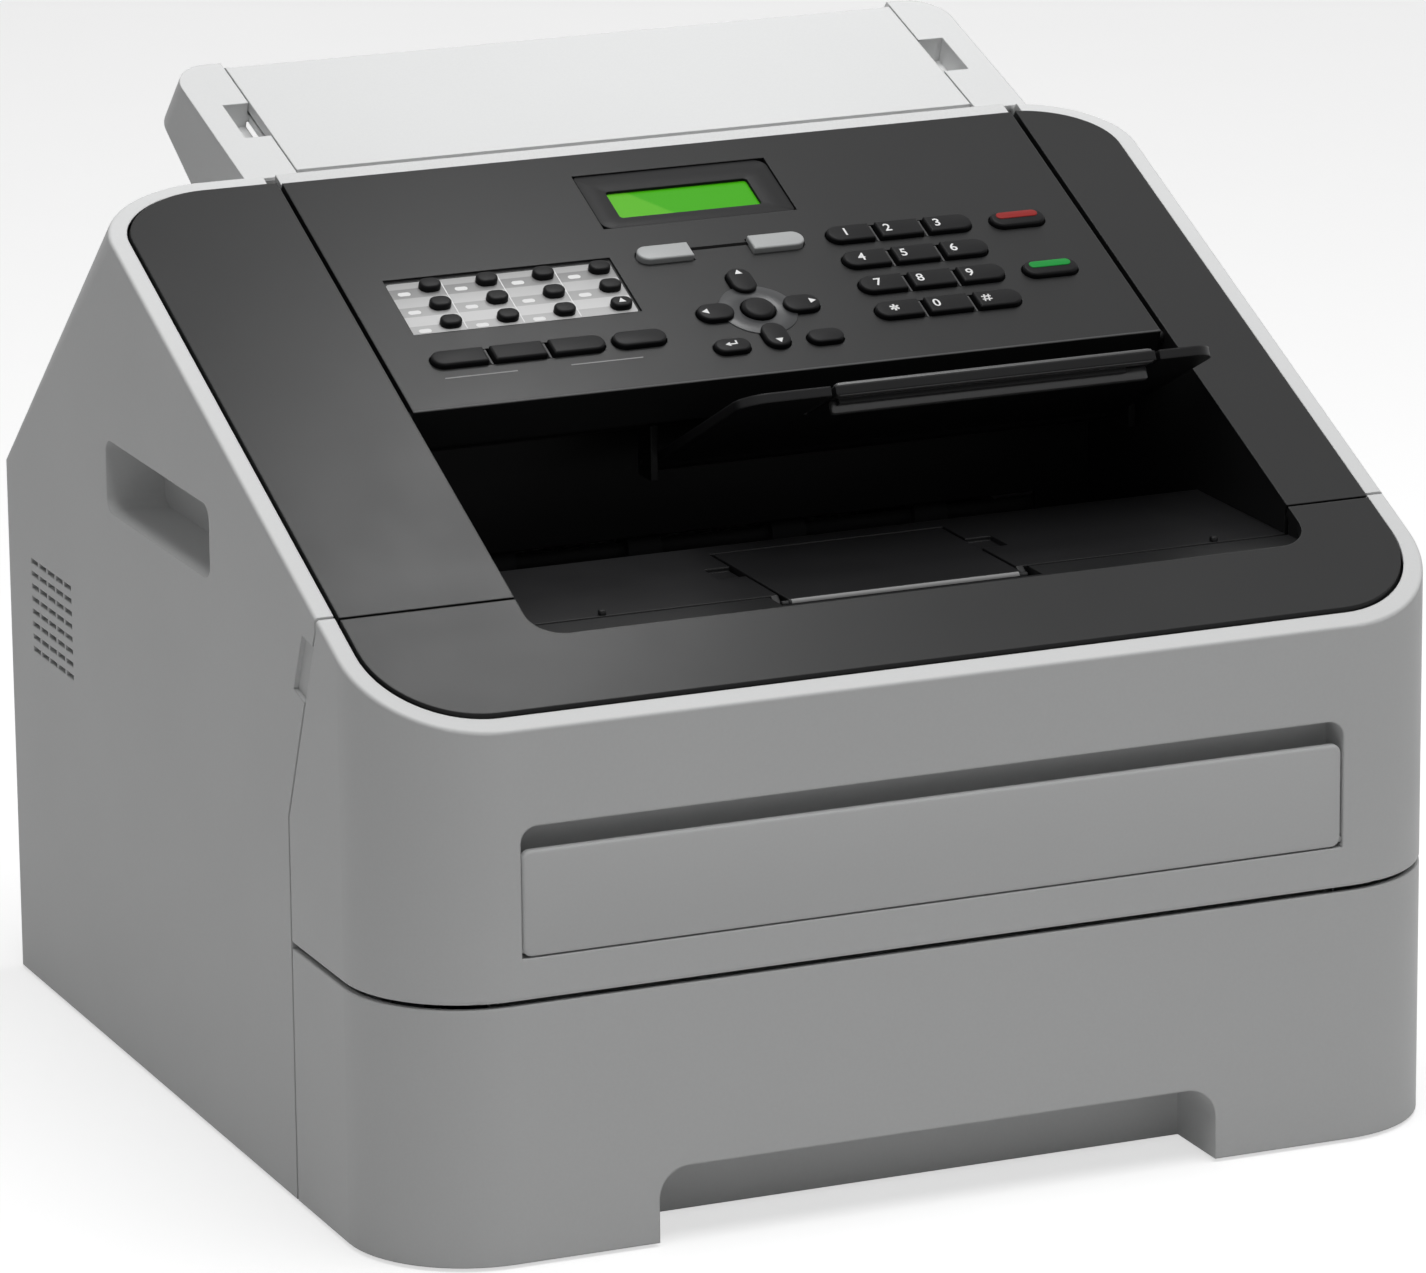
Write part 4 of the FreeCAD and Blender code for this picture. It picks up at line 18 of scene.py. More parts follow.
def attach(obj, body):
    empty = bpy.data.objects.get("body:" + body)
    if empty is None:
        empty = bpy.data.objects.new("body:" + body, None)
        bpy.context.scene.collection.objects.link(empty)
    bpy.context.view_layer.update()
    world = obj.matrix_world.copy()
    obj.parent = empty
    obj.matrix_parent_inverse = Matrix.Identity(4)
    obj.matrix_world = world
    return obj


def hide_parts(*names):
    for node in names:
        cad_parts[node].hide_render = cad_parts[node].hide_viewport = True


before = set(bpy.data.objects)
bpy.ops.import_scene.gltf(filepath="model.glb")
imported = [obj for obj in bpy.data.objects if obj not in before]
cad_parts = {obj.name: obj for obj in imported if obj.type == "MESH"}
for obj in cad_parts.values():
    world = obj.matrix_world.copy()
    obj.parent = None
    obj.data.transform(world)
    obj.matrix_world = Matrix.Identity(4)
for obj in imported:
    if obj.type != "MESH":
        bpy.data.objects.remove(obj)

LOG = logging.getLogger("fax_machine")
MM = 0.001
SOFT_CREASE = 50.0
Triple = tuple[float, float, float]
Colour = Triple
Point = tuple[float, float]
Outline = Callable[[float], list[Point]]
Ring = list[bmesh.types.BMVert]
Maker = bmesh.types.BMesh
Material = bpy.types.Material
Socket = bpy.types.NodeSocket


class Bodies(Enum):
    """Moving bodies that carry new pieces."""
    CHASSIS = "chassis"
    PANEL = "control_panel"
    DOCUMENT_OUTPUT_FLAP = "document_output_flap"
    OUTPUT_FLAP = "output_flap"
    FEED_DOOR = "manual_feed_door"


class Slots(Enum):
    """Material slot names of the record, carried by new pieces in a field that nothing reads."""
    CASING = "casing"
    DECK = "deck"
    WELL = "well"
    KEYS = "keys"
    MODE_KEYS = "mode_keys"
    BOARDS = "boards"


class KeyForm(Enum):
    """Plan of a key: which of its ends are round."""
    BOTH = "both"
    LEFT = "left"
    RIGHT = "right"
    NONE = "none"


@dataclass(frozen=True)
class SlopeFrame:
    """Frame of a sloped face: origin in Y and Z, millimetres, and tilt about X in degrees."""
    y: float
    z: float
    angle: float

    def matrix(self) -> Matrix:
        """Return the matrix that takes the frame, in metres, to the model."""
        turn = Matrix.Rotation(math.radians(self.angle), 4, "X")
        return Matrix.Translation((0.0, self.y * MM, self.z * MM)) @ turn


DECK = SlopeFrame(y=-180.0, z=172.0, angle=23.87)
PANEL = Bodies.PANEL.value
PANEL_TOP = 1.0


class NodeTree:
    """Short hand for the node tree of one material or world."""

    def __init__(self, name: str, world: bool = False) -> None:
        """Start a material or a world with an empty tree.

        Args:
            name: Name of the material or world.
            world: Make a world instead of a material.
        """
        self.owner = (bpy.data.worlds if world else bpy.data.materials).new(name)
        self.owner.use_nodes = True
        self.tree = self.owner.node_tree
        self.tree.nodes.clear()

    def feed(self, target: Socket, value: object) -> None:
        """Give an input its value.

        Args:
            target: The input.
            value: Socket to link or constant to set. None leaves the input as it is.
        """
        if isinstance(value, Socket):
            self.tree.links.new(value, target)
        elif value is not None:
            target.default_value = value

    def add(self, kind: str, inputs: dict[str, object] | None = None, **settings: object) -> bpy.types.Node:
        """Add a node.

        Args:
            kind: Node type without its ShaderNode prefix.
            inputs: Sockets or constants of named inputs.
            settings: Properties of the node.

        Returns:
            The new node.
        """
        node = self.tree.nodes.new(f"ShaderNode{kind}")
        for name, value in settings.items():
            setattr(node, name, value)
        for name, value in (inputs or {}).items():
            self.feed(node.inputs[name], value)
        return node

    def math(self, operation: str, *operands: object) -> Socket:
        """Add a math node.

        Args:
            operation: Math operation.
            operands: Sockets or numbers.

        Returns:
            The result socket.
        """
        node = self.add("Math", operation=operation)
        for target, operand in zip(node.inputs, operands):
            self.feed(target, operand)
        return node.outputs[0]

    def place(self) -> Socket:
        """Return the place on the piece, in metres."""
        return self.add("TexCoord").outputs["Object"]

    def axes(self) -> bpy.types.bpy_prop_collection:
        """Return the place on the piece, split into X, Y and Z."""
        return self.add("SeparateXYZ", {"Vector": self.place()}).outputs

    def noise(self, scale: float, detail: float = 2.0, stretch: Triple = (1.0, 1.0, 1.0)) -> Socket:
        """Add noise over the place on the piece.

        Args:
            scale: Cells per metre.
            detail: Octaves.
            stretch: Scale along each axis.

        Returns:
            The noise between 0 and 1.
        """
        spot = self.add("Mapping", {"Vector": self.place(), "Scale": stretch}).outputs[0]
        return self.add("TexNoise", {"Vector": spot, "Scale": scale, "Detail": detail}).outputs[0]

    def blend(self, factor: Socket, low: object, high: object) -> Socket:
        """Mix two colours by a varying factor.

        Args:
            factor: Share of the second colour.
            low: First colour, or a socket.
            high: Second colour, or a socket.

        Returns:
            The mixed colour.
        """
        node = self.add("Mix", data_type="RGBA")
        for index, value in ((0, factor), (6, low), (7, high)):
            self.feed(node.inputs[index], (*value, 1.0) if isinstance(value, tuple) else value)
        return node.outputs[2]

    def span(self, value: Socket, low: float, high: float) -> Socket:
        """Stretch a 0 to 1 value over a span."""
        return self.add("MapRange", {"Value": value, "To Min": low, "To Max": high}).outputs[0]

    def bump(self, height: Socket, strength: float, depth: float, normal: Socket | None = None) -> Socket:
        """Return the normal, or else the face's own, bent by a height of a depth in millimetres."""
        return self.add("Bump", {"Height": height, "Strength": strength, "Distance": depth * MM,
                                 "Normal": normal}).outputs[0]

    def shader(self, colour: Socket, rough: Socket, normal: Socket | None = None, gloss: float = 0.5,
               metallic: float = 0.0) -> bpy.types.Node:
        """Return a new surface shader, with a bent normal or the face's own."""
        return self.add("BsdfPrincipled", {"Base Color": colour, "Roughness": rough, "Normal": normal,
                                           "Specular IOR Level": gloss, "Metallic": metallic})

    def seen(self) -> Socket:
        """Tell the rays that show to the eye from those that only carry light.

        Returns:
            1 for a camera, glossy or transmission ray, 0 for others.
        """
        rays = self.add("LightPath").outputs
        first = self.math("MAXIMUM", rays["Is Camera Ray"], rays["Is Glossy Ray"])
        return self.math("MAXIMUM", first, rays["Is Transmission Ray"])

    def finish(self, shader: bpy.types.Node) -> Material:
        """Connect the last shader and return the material."""
        self.add("OutputMaterial", {"Surface": shader.outputs[0]})
        return self.owner


def tint(colour: Colour, factor: float) -> Colour:
    """Return a colour made darker or lighter by a factor."""
    return tuple(min(1.0, part * factor) for part in colour)


@dataclass(frozen=True)
class Plastic:
    """Moulded plastic with grain, faint mottling, specks, rubbed patches and soft edges."""
    name: str
    colour: Colour
    rough: float = 0.34
    mottle: float = 0.06
    rub: float = 0.04
    grain: float = 2600.0
    depth: float = 0.004
    edge: float = 0.2
    gloss: float = 0.2
    strip_from: float = 0.0
    strip_colour: Colour = (0.8, 0.8, 0.8)
    mottle_scale: float = 14.0
    rub_scale: float = 40.0
    speck_scale: float = 0.6
    speck_share: float = 0.12
    speck_shade: float = 0.7
    grain_strength: float = 0.35

    def material(self) -> Material:
        """Build the node tree.

        Returns:
            The material.
        """
        nodes = NodeTree(self.name)
        shades = [tint(self.colour, 1.0 + share) for share in (-self.mottle, self.mottle)]
        colour = nodes.blend(nodes.noise(self.mottle_scale, 3.0), *shades)
        if self.strip_from:
            colour = nodes.blend(self.strip(nodes), colour, self.strip_colour)
        specks = nodes.noise(self.grain * self.speck_scale, 1.0)
        colour = nodes.blend(nodes.span(specks, 0.0, self.speck_share), colour,
                             tint(self.colour, self.speck_shade))
        rough = nodes.span(nodes.noise(self.rub_scale, 4.0), self.rough - self.rub,
                           self.rough + self.rub)
        soft = nodes.add("Bevel", {"Radius": self.edge * MM}, samples=6)
        normal = nodes.bump(nodes.noise(self.grain), self.grain_strength, self.depth, soft.outputs[0])
        return nodes.finish(nodes.shader(colour, rough, normal, self.gloss))

    def strip(self, nodes: NodeTree) -> Socket:
        """Tell where the place lies past a line across the slope.

        Args:
            nodes: Tree that gets the nodes.

        Returns:
            1 past the line, 0 before it.
        """
        axes = nodes.axes()
        tilt = math.radians(DECK.angle)
        along = nodes.math("MULTIPLY", nodes.math("SUBTRACT", axes["Y"], DECK.y * MM), math.cos(tilt))
        rise = nodes.math("MULTIPLY", nodes.math("SUBTRACT", axes["Z"], DECK.z * MM), math.sin(tilt))
        return nodes.math("GREATER_THAN", nodes.math("ADD", along, rise), self.strip_from * MM)


@dataclass(frozen=True)
class Metal:
    """Sheet or turned metal with fine lines along X."""
    name: str
    colour: Colour
    roughness: float = 0.35
    smoother: float = 0.08
    rougher: float = 0.12
    line_scale: float = 900.0
    line_stretch: Triple = (0.03, 1.0, 1.0)
    dark: float = 0.86
    light: float = 1.08

    def material(self) -> Material:
        """Build the node tree.

        Returns:
            The material.
        """
        nodes = NodeTree(self.name)
        lines = nodes.noise(self.line_scale, 3.0, self.line_stretch)
        colour = nodes.blend(lines, tint(self.colour, self.dark), tint(self.colour, self.light))
        rough = nodes.span(nodes.noise(60.0, 3.0), self.roughness - self.smoother,
                           self.roughness + self.rougher)
        return nodes.finish(nodes.shader(colour, rough, nodes.bump(lines, 0.25, 0.01), metallic=1.0))


@dataclass(frozen=True)
class CircuitBoard:
    """Green lacquered board with tracks and pads, and black sockets past a line along Y."""
    name: str
    socket_from: float
    colour: Colour = (0.01, 0.08, 0.03)
    track: Colour = (0.03, 0.16, 0.06)
    socket: Colour = (0.015, 0.015, 0.016)
    cells: float = 220.0
    repeats: float = 9.0
    track_from: float = 0.62

    def material(self) -> Material:
        """Build the node tree.

        Returns:
            The material.
        """
        nodes = NodeTree(self.name)
        cells = nodes.add("TexVoronoi", {"Vector": nodes.place(), "Scale": self.cells},
                          distance="MANHATTAN", feature="F1")
        steps = nodes.math("FRACT", nodes.math("MULTIPLY", cells.outputs[0], self.repeats))
        lines = nodes.math("GREATER_THAN", steps, self.track_from)
        past = nodes.math("GREATER_THAN", nodes.axes()["Y"], self.socket_from * MM)
        colour = nodes.blend(past, nodes.blend(lines, self.colour, self.track), self.socket)
        rough = nodes.span(nodes.noise(120.0), 0.3, 0.5)
        return nodes.finish(nodes.shader(colour, rough, nodes.bump(lines, 0.4, 0.03)))


@dataclass(frozen=True)
class LiquidCrystal:
    """Green display glass with a fine dot grid and a lighter slanted patch, a painted reflection on the
    glass.
    """
    name: str
    colour: Colour
    painted_glare: Colour
    painted_glare_x: float
    middle: float
    slant: float = 0.9
    painted_glare_soft: float = 0.8
    dots: float = 0.55
    line: float = 0.12
    line_share: float = 0.22
    line_shade: float = 0.6

    def material(self) -> Material:
        """Build the node tree.

        Returns:
            The material.
        """
        nodes = NodeTree(self.name)
        axes = nodes.axes()
        # Painted reflection: the glass is lighter on one side of a soft slanted line.
        skew = nodes.math("MULTIPLY", nodes.math("SUBTRACT", axes["Y"], self.middle * MM), self.slant)
        side = nodes.math("SUBTRACT", nodes.math("ADD", axes["X"], skew), self.painted_glare_x * MM)
        painted_glare = nodes.add("MapRange", {"Value": side, "From Min": self.painted_glare_soft * MM,
                                       "From Max": -self.painted_glare_soft * MM})
        colour = nodes.blend(painted_glare.outputs[0], self.colour, self.painted_glare)
        steps = [nodes.math("FRACT", nodes.math("DIVIDE", axes[axis], self.dots * MM)) for axis in "XY"]
        grid = nodes.math("MAXIMUM", *(nodes.math("LESS_THAN", step, self.line) for step in steps))
        colour = nodes.blend(nodes.math("MULTIPLY", grid, self.line_share), colour,
                             tint(self.colour, self.line_shade))
        rough = nodes.span(nodes.noise(90.0), 0.18, 0.3)
        return nodes.finish(nodes.shader(colour, rough, gloss=0.12))


@dataclass(frozen=True)
class SilverCard:
    """Silver printed card with a light and a dark band in each row, and a painted sheen brighter row by row
    to the front.
    """
    name: str
    dark: Colour
    light: Colour
    row_start: float
    row_pitch: float
    front: float
    back: float
    sheen_share_back: float = 0.02
    sheen_share_front: float = 0.68
    band_share: float = 0.3

    def material(self) -> Material:
        """Build the node tree.

        Returns:
            The material.
        """
        nodes = NodeTree(self.name)
        depth = nodes.axes()["Y"]
        row = nodes.math("DIVIDE", nodes.math("SUBTRACT", depth, self.row_start * MM), self.row_pitch * MM)
        band = nodes.math("GREATER_THAN", nodes.math("FRACT", row), 0.5)
        # Painted sheen: the card's colour grows lighter from the back to the front.
        along = nodes.add("MapRange", {"Value": depth, "From Min": self.back * MM,
                                       "From Max": self.front * MM, "To Min": self.sheen_share_back,
                                       "To Max": self.sheen_share_front})
        share = nodes.math("ADD", nodes.math("MULTIPLY", band, self.band_share), along.outputs[0])
        colour = nodes.blend(share, self.dark, self.light)
        grain = nodes.noise(2500.0, 1.0)
        rough = nodes.span(grain, 0.3, 0.5)
        return nodes.finish(nodes.shader(colour, rough, nodes.bump(grain, 0.2, 0.01), gloss=0.15))


@dataclass(frozen=True)
class StudioFloor:
    """Pale matt floor, lifted towards white where it is seen."""
    name: str
    colour: Colour
    lift: float = 0.62

    def material(self) -> Material:
        """Build the node tree.

        Returns:
            The material.
        """
        nodes = NodeTree(self.name)
        colour = nodes.blend(nodes.noise(3.0), tint(self.colour, 0.99), tint(self.colour, 1.01))
        paint = nodes.shader(colour, nodes.span(nodes.noise(20.0), 0.75, 0.9), gloss=0.1)
        glow = nodes.add("Emission", {"Strength": nodes.span(nodes.seen(), 0.0, self.lift)})
        both = nodes.add("AddShader")
        for part, socket in zip((paint, glow), both.inputs):
            nodes.tree.links.new(part.outputs[0], socket)
        return nodes.finish(both)


Finish = Plastic | Metal | CircuitBoard | LiquidCrystal | SilverCard | StudioFloor

CASING = Plastic("casing_grey", (0.72, 0.725, 0.725), rough=0.5, mottle=0.02, rub=0.05, grain=1800.0,
                 depth=0.02, edge=0.9)
DECK_DARK = Plastic("deck_dark", (0.0115, 0.0117, 0.012), rough=0.35, mottle=0.1, grain=2200.0, depth=0.03,
                    edge=0.6, gloss=0.19)
PANEL_DARK = replace(DECK_DARK, name="panel_dark", gloss=0.18, strip_from=285.25,
                     strip_colour=CASING.colour)
WELL_BLACK = Plastic("well_black", (0.009, 0.009, 0.0095), rough=0.38, mottle=0.1, rub=0.06, grain=1600.0,
                     depth=0.03, edge=0.9, gloss=0.16)
# Lighter than the well's black: a painted highlight on rounded front edges, besides its gloss.
BEAD_PAINTED_HIGHLIGHT = Plastic("bead_painted_highlight", (0.05, 0.05, 0.051), rough=0.3, mottle=0.08, rub=0.05, grain=1600.0,
                     depth=0.01, edge=0.3, gloss=0.5)
KEY_BLACK = Plastic("key_black", (0.0055, 0.0055, 0.006), rough=0.4, mottle=0.08, rub=0.05, depth=0.008,
                    edge=0.25, gloss=0.09)
MODE_GREY = Plastic("mode_key_grey", (0.4, 0.41, 0.41), mottle=0.03, depth=0.005, edge=0.3)
STOP_RED = Plastic("stop_red", (0.26, 0.012, 0.01), gloss=0.14)
START_GREEN = Plastic("start_green", (0.002, 0.26, 0.035), gloss=0.14)
LEGEND_WHITE = Plastic("legend_white", (0.8, 0.8, 0.8), rough=0.55, mottle=0.03, rub=0.03, depth=0.002,
                       edge=0.02, gloss=0.1)
# Grey of the printed lines, and of a painted highlight on the output flap's front edge.
LINE_AND_HIGHLIGHT_GREY = replace(LEGEND_WHITE, name="line_and_highlight_grey", colour=(0.3, 0.3, 0.3))
# Grey of the ribs between keys, and of a painted highlight along the panel's front edge.
RIB_AND_HIGHLIGHT_GREY = Plastic("rib_and_highlight_grey", (0.06, 0.06, 0.061), rough=0.45, rub=0.05, grain=2200.0, depth=0.01)
BEZEL_BLACK = Plastic("bezel_black", (0.006, 0.006, 0.0065), rough=0.4, rub=0.05, depth=0.006, edge=0.3,
                      gloss=0.12)
# Near-black matt film: the painted shade of a groove.
GROOVE_PAINTED_SHADE = Plastic("groove_painted_shade", (0.003, 0.003, 0.003), rough=0.7, mottle=0.1, rub=0.05, depth=0.006,
                       edge=0.05, gloss=0.02)
NAV_GREY = Plastic("nav_disc_grey", (0.04, 0.041, 0.043), rough=0.3, mottle=0.05, edge=0.4, gloss=0.25)
CHASSIS_BLACK = Plastic("chassis_black", (0.02, 0.02, 0.021), rough=0.5, mottle=0.1, rub=0.08, grain=900.0,
                        depth=0.04, edge=0.5, gloss=0.3)
RUBBER = Plastic("roller_rubber", (0.03, 0.03, 0.032), rough=0.75, mottle=0.12, rub=0.06, grain=1200.0,
                 depth=0.05, edge=0.3)
GEAR_WHITE = Plastic("gear_natural", (0.66, 0.65, 0.6), rough=0.4, mottle=0.04, rub=0.06, grain=1200.0,
                     depth=0.01, gloss=0.5)
FEET_BLACK = Plastic("feet_rubber", (0.02, 0.02, 0.02), rough=0.8, mottle=0.15, rub=0.05, grain=1000.0,
                     depth=0.05, edge=0.4)
STEEL = Metal("plated_sheet", (0.56, 0.57, 0.58))
FUSER = Metal("coated_fuser", (0.22, 0.22, 0.23), 0.42)
BOARD = CircuitBoard("circuit_board", socket_from=160.0)
KEY_BOARD = CircuitBoard("key_circuit_board", socket_from=274.0)
# The second colour is a painted reflection, a lighter patch of glare on the glass.
GLASS_GREEN = LiquidCrystal("display_green", (0.055, 0.4, 0.004), (0.11, 0.47, 0.02), painted_glare_x=3.0,
                            middle=256.0)
CARD = SilverCard("one_touch_card", (0.2, 0.2, 0.2), (0.74, 0.74, 0.74), row_start=197.3, row_pitch=10.1,
                  front=197.5, back=227.5)
FLOOR = StudioFloor("studio_floor", (0.6, 0.6, 0.6))

NODE_FINISHES: dict[Finish, tuple[str, ...]] = {
    CASING: ("left_side_cover", "right_side_cover", "rear_housing", "document_support", "front_cover",
             "paper_cassette", "document_flap", "rear_cover"),
    DECK_DARK: ("top_cover", "front_deck"),
    PANEL_DARK: ("control_panel",),
    WELL_BLACK: ("output_tray", "output_flap", "document_output_flap"),
    CHASSIS_BLACK: ("base_frame", "toner_cartridge", "drum_unit", "laser_unit", "scan_bar", "left_side_guide",
                    "right_side_guide"),
    STEEL: ("lift_plate", "cover_screws", "drive_motor"),
    FUSER: ("fuser_roller",),
    RUBBER: ("pickup_roller", "pressure_roller", "eject_roller", "document_roller"),
    GEAR_WHITE: ("drive_gear",),
    BOARD: ("main_board", "power_supply"),
    FEET_BLACK: ("rubber_feet",),
}


@cache
def material_of(finish: Finish) -> Material:
    """Return the material of a finish, built at its first use."""
    return finish.material()


def dress_nodes(table: dict[Finish, tuple[str, ...]]) -> None:
    """Assign finishes to carried-over nodes.

    Args:
        table: Node names of each finish.
    """
    for finish, names in table.items():
        for name in names:
            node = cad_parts[name]
            if not node.material_slots:
                node.data.materials.append(None)
            for place in node.material_slots:
                place.material = material_of(finish)
            LOG.info("dressed %s with %s", name, finish.name)


def rounded_outline(length: float, width: float, radii: Sequence[float], steps: int = 8) -> list[Point]:
    """Draw a rectangle about the origin with four corner radii.

    Args:
        length: Size along x.
        width: Size along s.
        radii: Corner radii, from the near left corner anticlockwise.
        steps: Segments of each round corner.

    Returns:
        The outline's points, anticlockwise.
    """
    corners = ((-1, -1, 180.0), (1, -1, 270.0), (1, 1, 0.0), (-1, 1, 90.0))
    points = []
    for (side_x, side_s, start), radius in zip(corners, radii):
        radius = max(min(radius, width / 2, length / 2), 0.02)
        centre_x = side_x * (length / 2 - radius)
        centre_s = side_s * (width / 2 - radius)
        for step in range(steps + 1):
            turn = math.radians(start + 90.0 * step / steps)
            points.append((centre_x + radius * math.cos(turn), centre_s + radius * math.sin(turn)))
    return points


def plan(length: float, width: float, corner: float, steps: int = 8) -> Outline:
    """Return what draws a rectangle with equal corners, drawn in by an inset."""
    return lambda inset: rounded_outline(length - 2 * inset, width - 2 * inset, [corner] * 4, steps)


def circle_outline(radius: float, steps: int = 48) -> list[Point]:
    """Return the points of a circle about the origin, anticlockwise."""
    turns = [math.tau * k / steps for k in range(steps)]
    return [(radius * math.cos(turn), radius * math.sin(turn)) for turn in turns]


def moved(points: Sequence[Point], x: float, s: float) -> list[Point]:
    """Return pairs of numbers shifted by x and s."""
    return [(point[0] + x, point[1] + s) for point in points]


def turned(points: Sequence[Point], turn: float) -> list[Point]:
    """Return points turned about the origin by an angle in degrees."""
    cos, sin = math.cos(math.radians(turn)), math.sin(math.radians(turn))
    return [(x * cos - s * sin, x * sin + s * cos) for x, s in points]


def arrow_head(length: float, half_width: float, turn: float) -> list[Point]:
    """Return a triangle that points along a turn in degrees."""
    return turned(((length * 0.6, 0.0), (-length * 0.4, half_width), (-length * 0.4, -half_width)), turn)


def bar(length: float, width: float, turn: float = 0.0) -> list[Point]:
    """Return a straight bar about the origin, along a turn in degrees."""
    half, side = length / 2, width / 2
    return turned(((-half, -side), (half, -side), (half, side), (-half, side)), turn)


def new_object(name: str, maker: Maker, crease: float = 40.0) -> bpy.types.Object:
    """Turn a bmesh in millimetres into an object in metres.

    Args:
        name: Name of the piece.
        maker: Mesh under construction, freed here.
        crease: Angle in degrees from which an edge stays sharp.

    Returns:
        The linked object.
    """
    bmesh.ops.remove_doubles(maker, verts=maker.verts, dist=0.001)
    bmesh.ops.recalc_face_normals(maker, faces=maker.faces)
    bmesh.ops.scale(maker, vec=(MM, MM, MM), verts=maker.verts)
    mesh = bpy.data.meshes.new(name)
    maker.to_mesh(mesh)
    maker.free()
    mesh.shade_smooth()
    mesh.set_sharp_from_angle(angle=math.radians(crease))
    piece = bpy.data.objects.new(name, mesh)
    bpy.context.scene.collection.objects.link(piece)
    return piece


def bridge(maker: Maker, rings: Sequence[Ring], closed: bool = False) -> None:
    """Join rings of equal count by faces, and cap the first and the last ring of an open row.

    Args:
        maker: Mesh that holds the rings.
        rings: The rings in order.
        closed: Join the last ring to the first.
    """
    count = len(rings[0])
    after = [*rings[1:], rings[0]] if closed else rings[1:]
    for low, high in zip(rings, after):
        for k in range(count):
            maker.faces.new((low[k], low[(k + 1) % count], high[(k + 1) % count], high[k]))
    if not closed:
        maker.faces.new(rings[-1])
        maker.faces.new(rings[0][::-1])


def add_stack(maker: Maker, centre: Point, outline: Outline, levels: Sequence[Point]) -> None:
    """Add a closed form of stacked outlines, its levels pairs of inset and height from the bottom up."""
    bridge(maker, [[maker.verts.new((centre[0] + x, centre[1] + s, height)) for x, s in outline(inset)]
                   for inset, height in levels])


def add_ring(maker: Maker, centre: Point, outer: Outline, inner: Outline, low: float, high: float,
             soft: float) -> None:
    """Add a flat ring between two outlines of equal count, its upper edges soft.

    Args:
        maker: Mesh that gets the ring.
        centre: Place in x and s.
        outer: Gives the outer outline drawn in by an inset.
        inner: Gives the inner outline drawn in by an inset.
        low: Height of the underside.
        high: Height of the face.
        soft: Round of the upper edges.
    """
    part = 0.3 * soft
    rise = ((0.0, low), (0.0, high - soft), (part, high - part), (soft, high))
    profile = [(outer, inset, height) for inset, height in rise]
    profile += [(inner, -inset, height) for inset, height in reversed(rise)]
    bridge(maker, [[maker.verts.new((centre[0] + x, centre[1] + s, height)) for x, s in draw(inset)]
                   for draw, inset, height in profile], closed=True)


def seat(piece: bpy.types.Object, finish: Finish, body: str,
         place: SlopeFrame | None = DECK) -> bpy.types.Object:
    """Give a piece its finish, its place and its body.

    Args:
        piece: New piece.
        finish: Its finish.
        body: Body that carries it.
        place: Frame that the piece was drawn in. None stands for the model's own.

    Returns:
        The piece.
    """
    piece.data.materials.append(material_of(finish))
    if place:
        piece.matrix_world = place.matrix()
    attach(piece, body)
    LOG.info("seated %s on %s", piece.name, body)
    return piece


@dataclass
class Key:
    """One key: name of its node, place, plan and finish."""
    name: str
    x: float
    s: float
    length: float
    width: float
    form: KeyForm = KeyForm.BOTH
    finish: Finish = KEY_BLACK
    root: float = -6.9
    top: float = 2.8
    soft: float = 0.8
    blunt: float = 0.5

    def outline(self, inset: float) -> list[Point]:
        """Return the plan of the key drawn in by an inset."""
        full = min(self.length, self.width) / 2
        left = full if self.form in (KeyForm.BOTH, KeyForm.LEFT) else self.blunt
        right = full if self.form in (KeyForm.BOTH, KeyForm.RIGHT) else self.blunt
        radii = [max(radius - inset, 0.05) for radius in (left, right, right, left)]
        return rounded_outline(self.length - 2 * inset, self.width - 2 * inset, radii)

    def trim(self, amount: float) -> None:
        """Shorten the blunt ends of the key.

        Args:
            amount: Length to take off each blunt end.
        """
        left = amount if self.form in (KeyForm.NONE, KeyForm.RIGHT) else 0.0
        right = amount if self.form in (KeyForm.NONE, KeyForm.LEFT) else 0.0
        self.x += (left - right) / 2
        self.length -= left + right

    def levels(self) -> list[Point]:
        """Return insets and heights: straight root, then a soft shoulder and a flat top."""
        shoulder = [(self.soft * (1 - math.cos(turn)), self.top - self.soft * (1 - math.sin(turn)))
                    for turn in (math.radians(angle) for angle in (0, 22, 45, 68, 90))]
        return [(0.0, self.root), *shoulder]

    def add_to(self, maker: Maker) -> None:
        """Add the key's form to a mesh."""
        add_stack(maker, (self.x, self.s), self.outline, self.levels())

    def build(self) -> None:
        """Make the key in the place of its node."""
        maker = bmesh.new()
        self.add_to(maker)
        piece = new_object(f"{self.name}_cap", maker, SOFT_CREASE)
        seat(piece, self.finish, self.name)
        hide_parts(self.name)


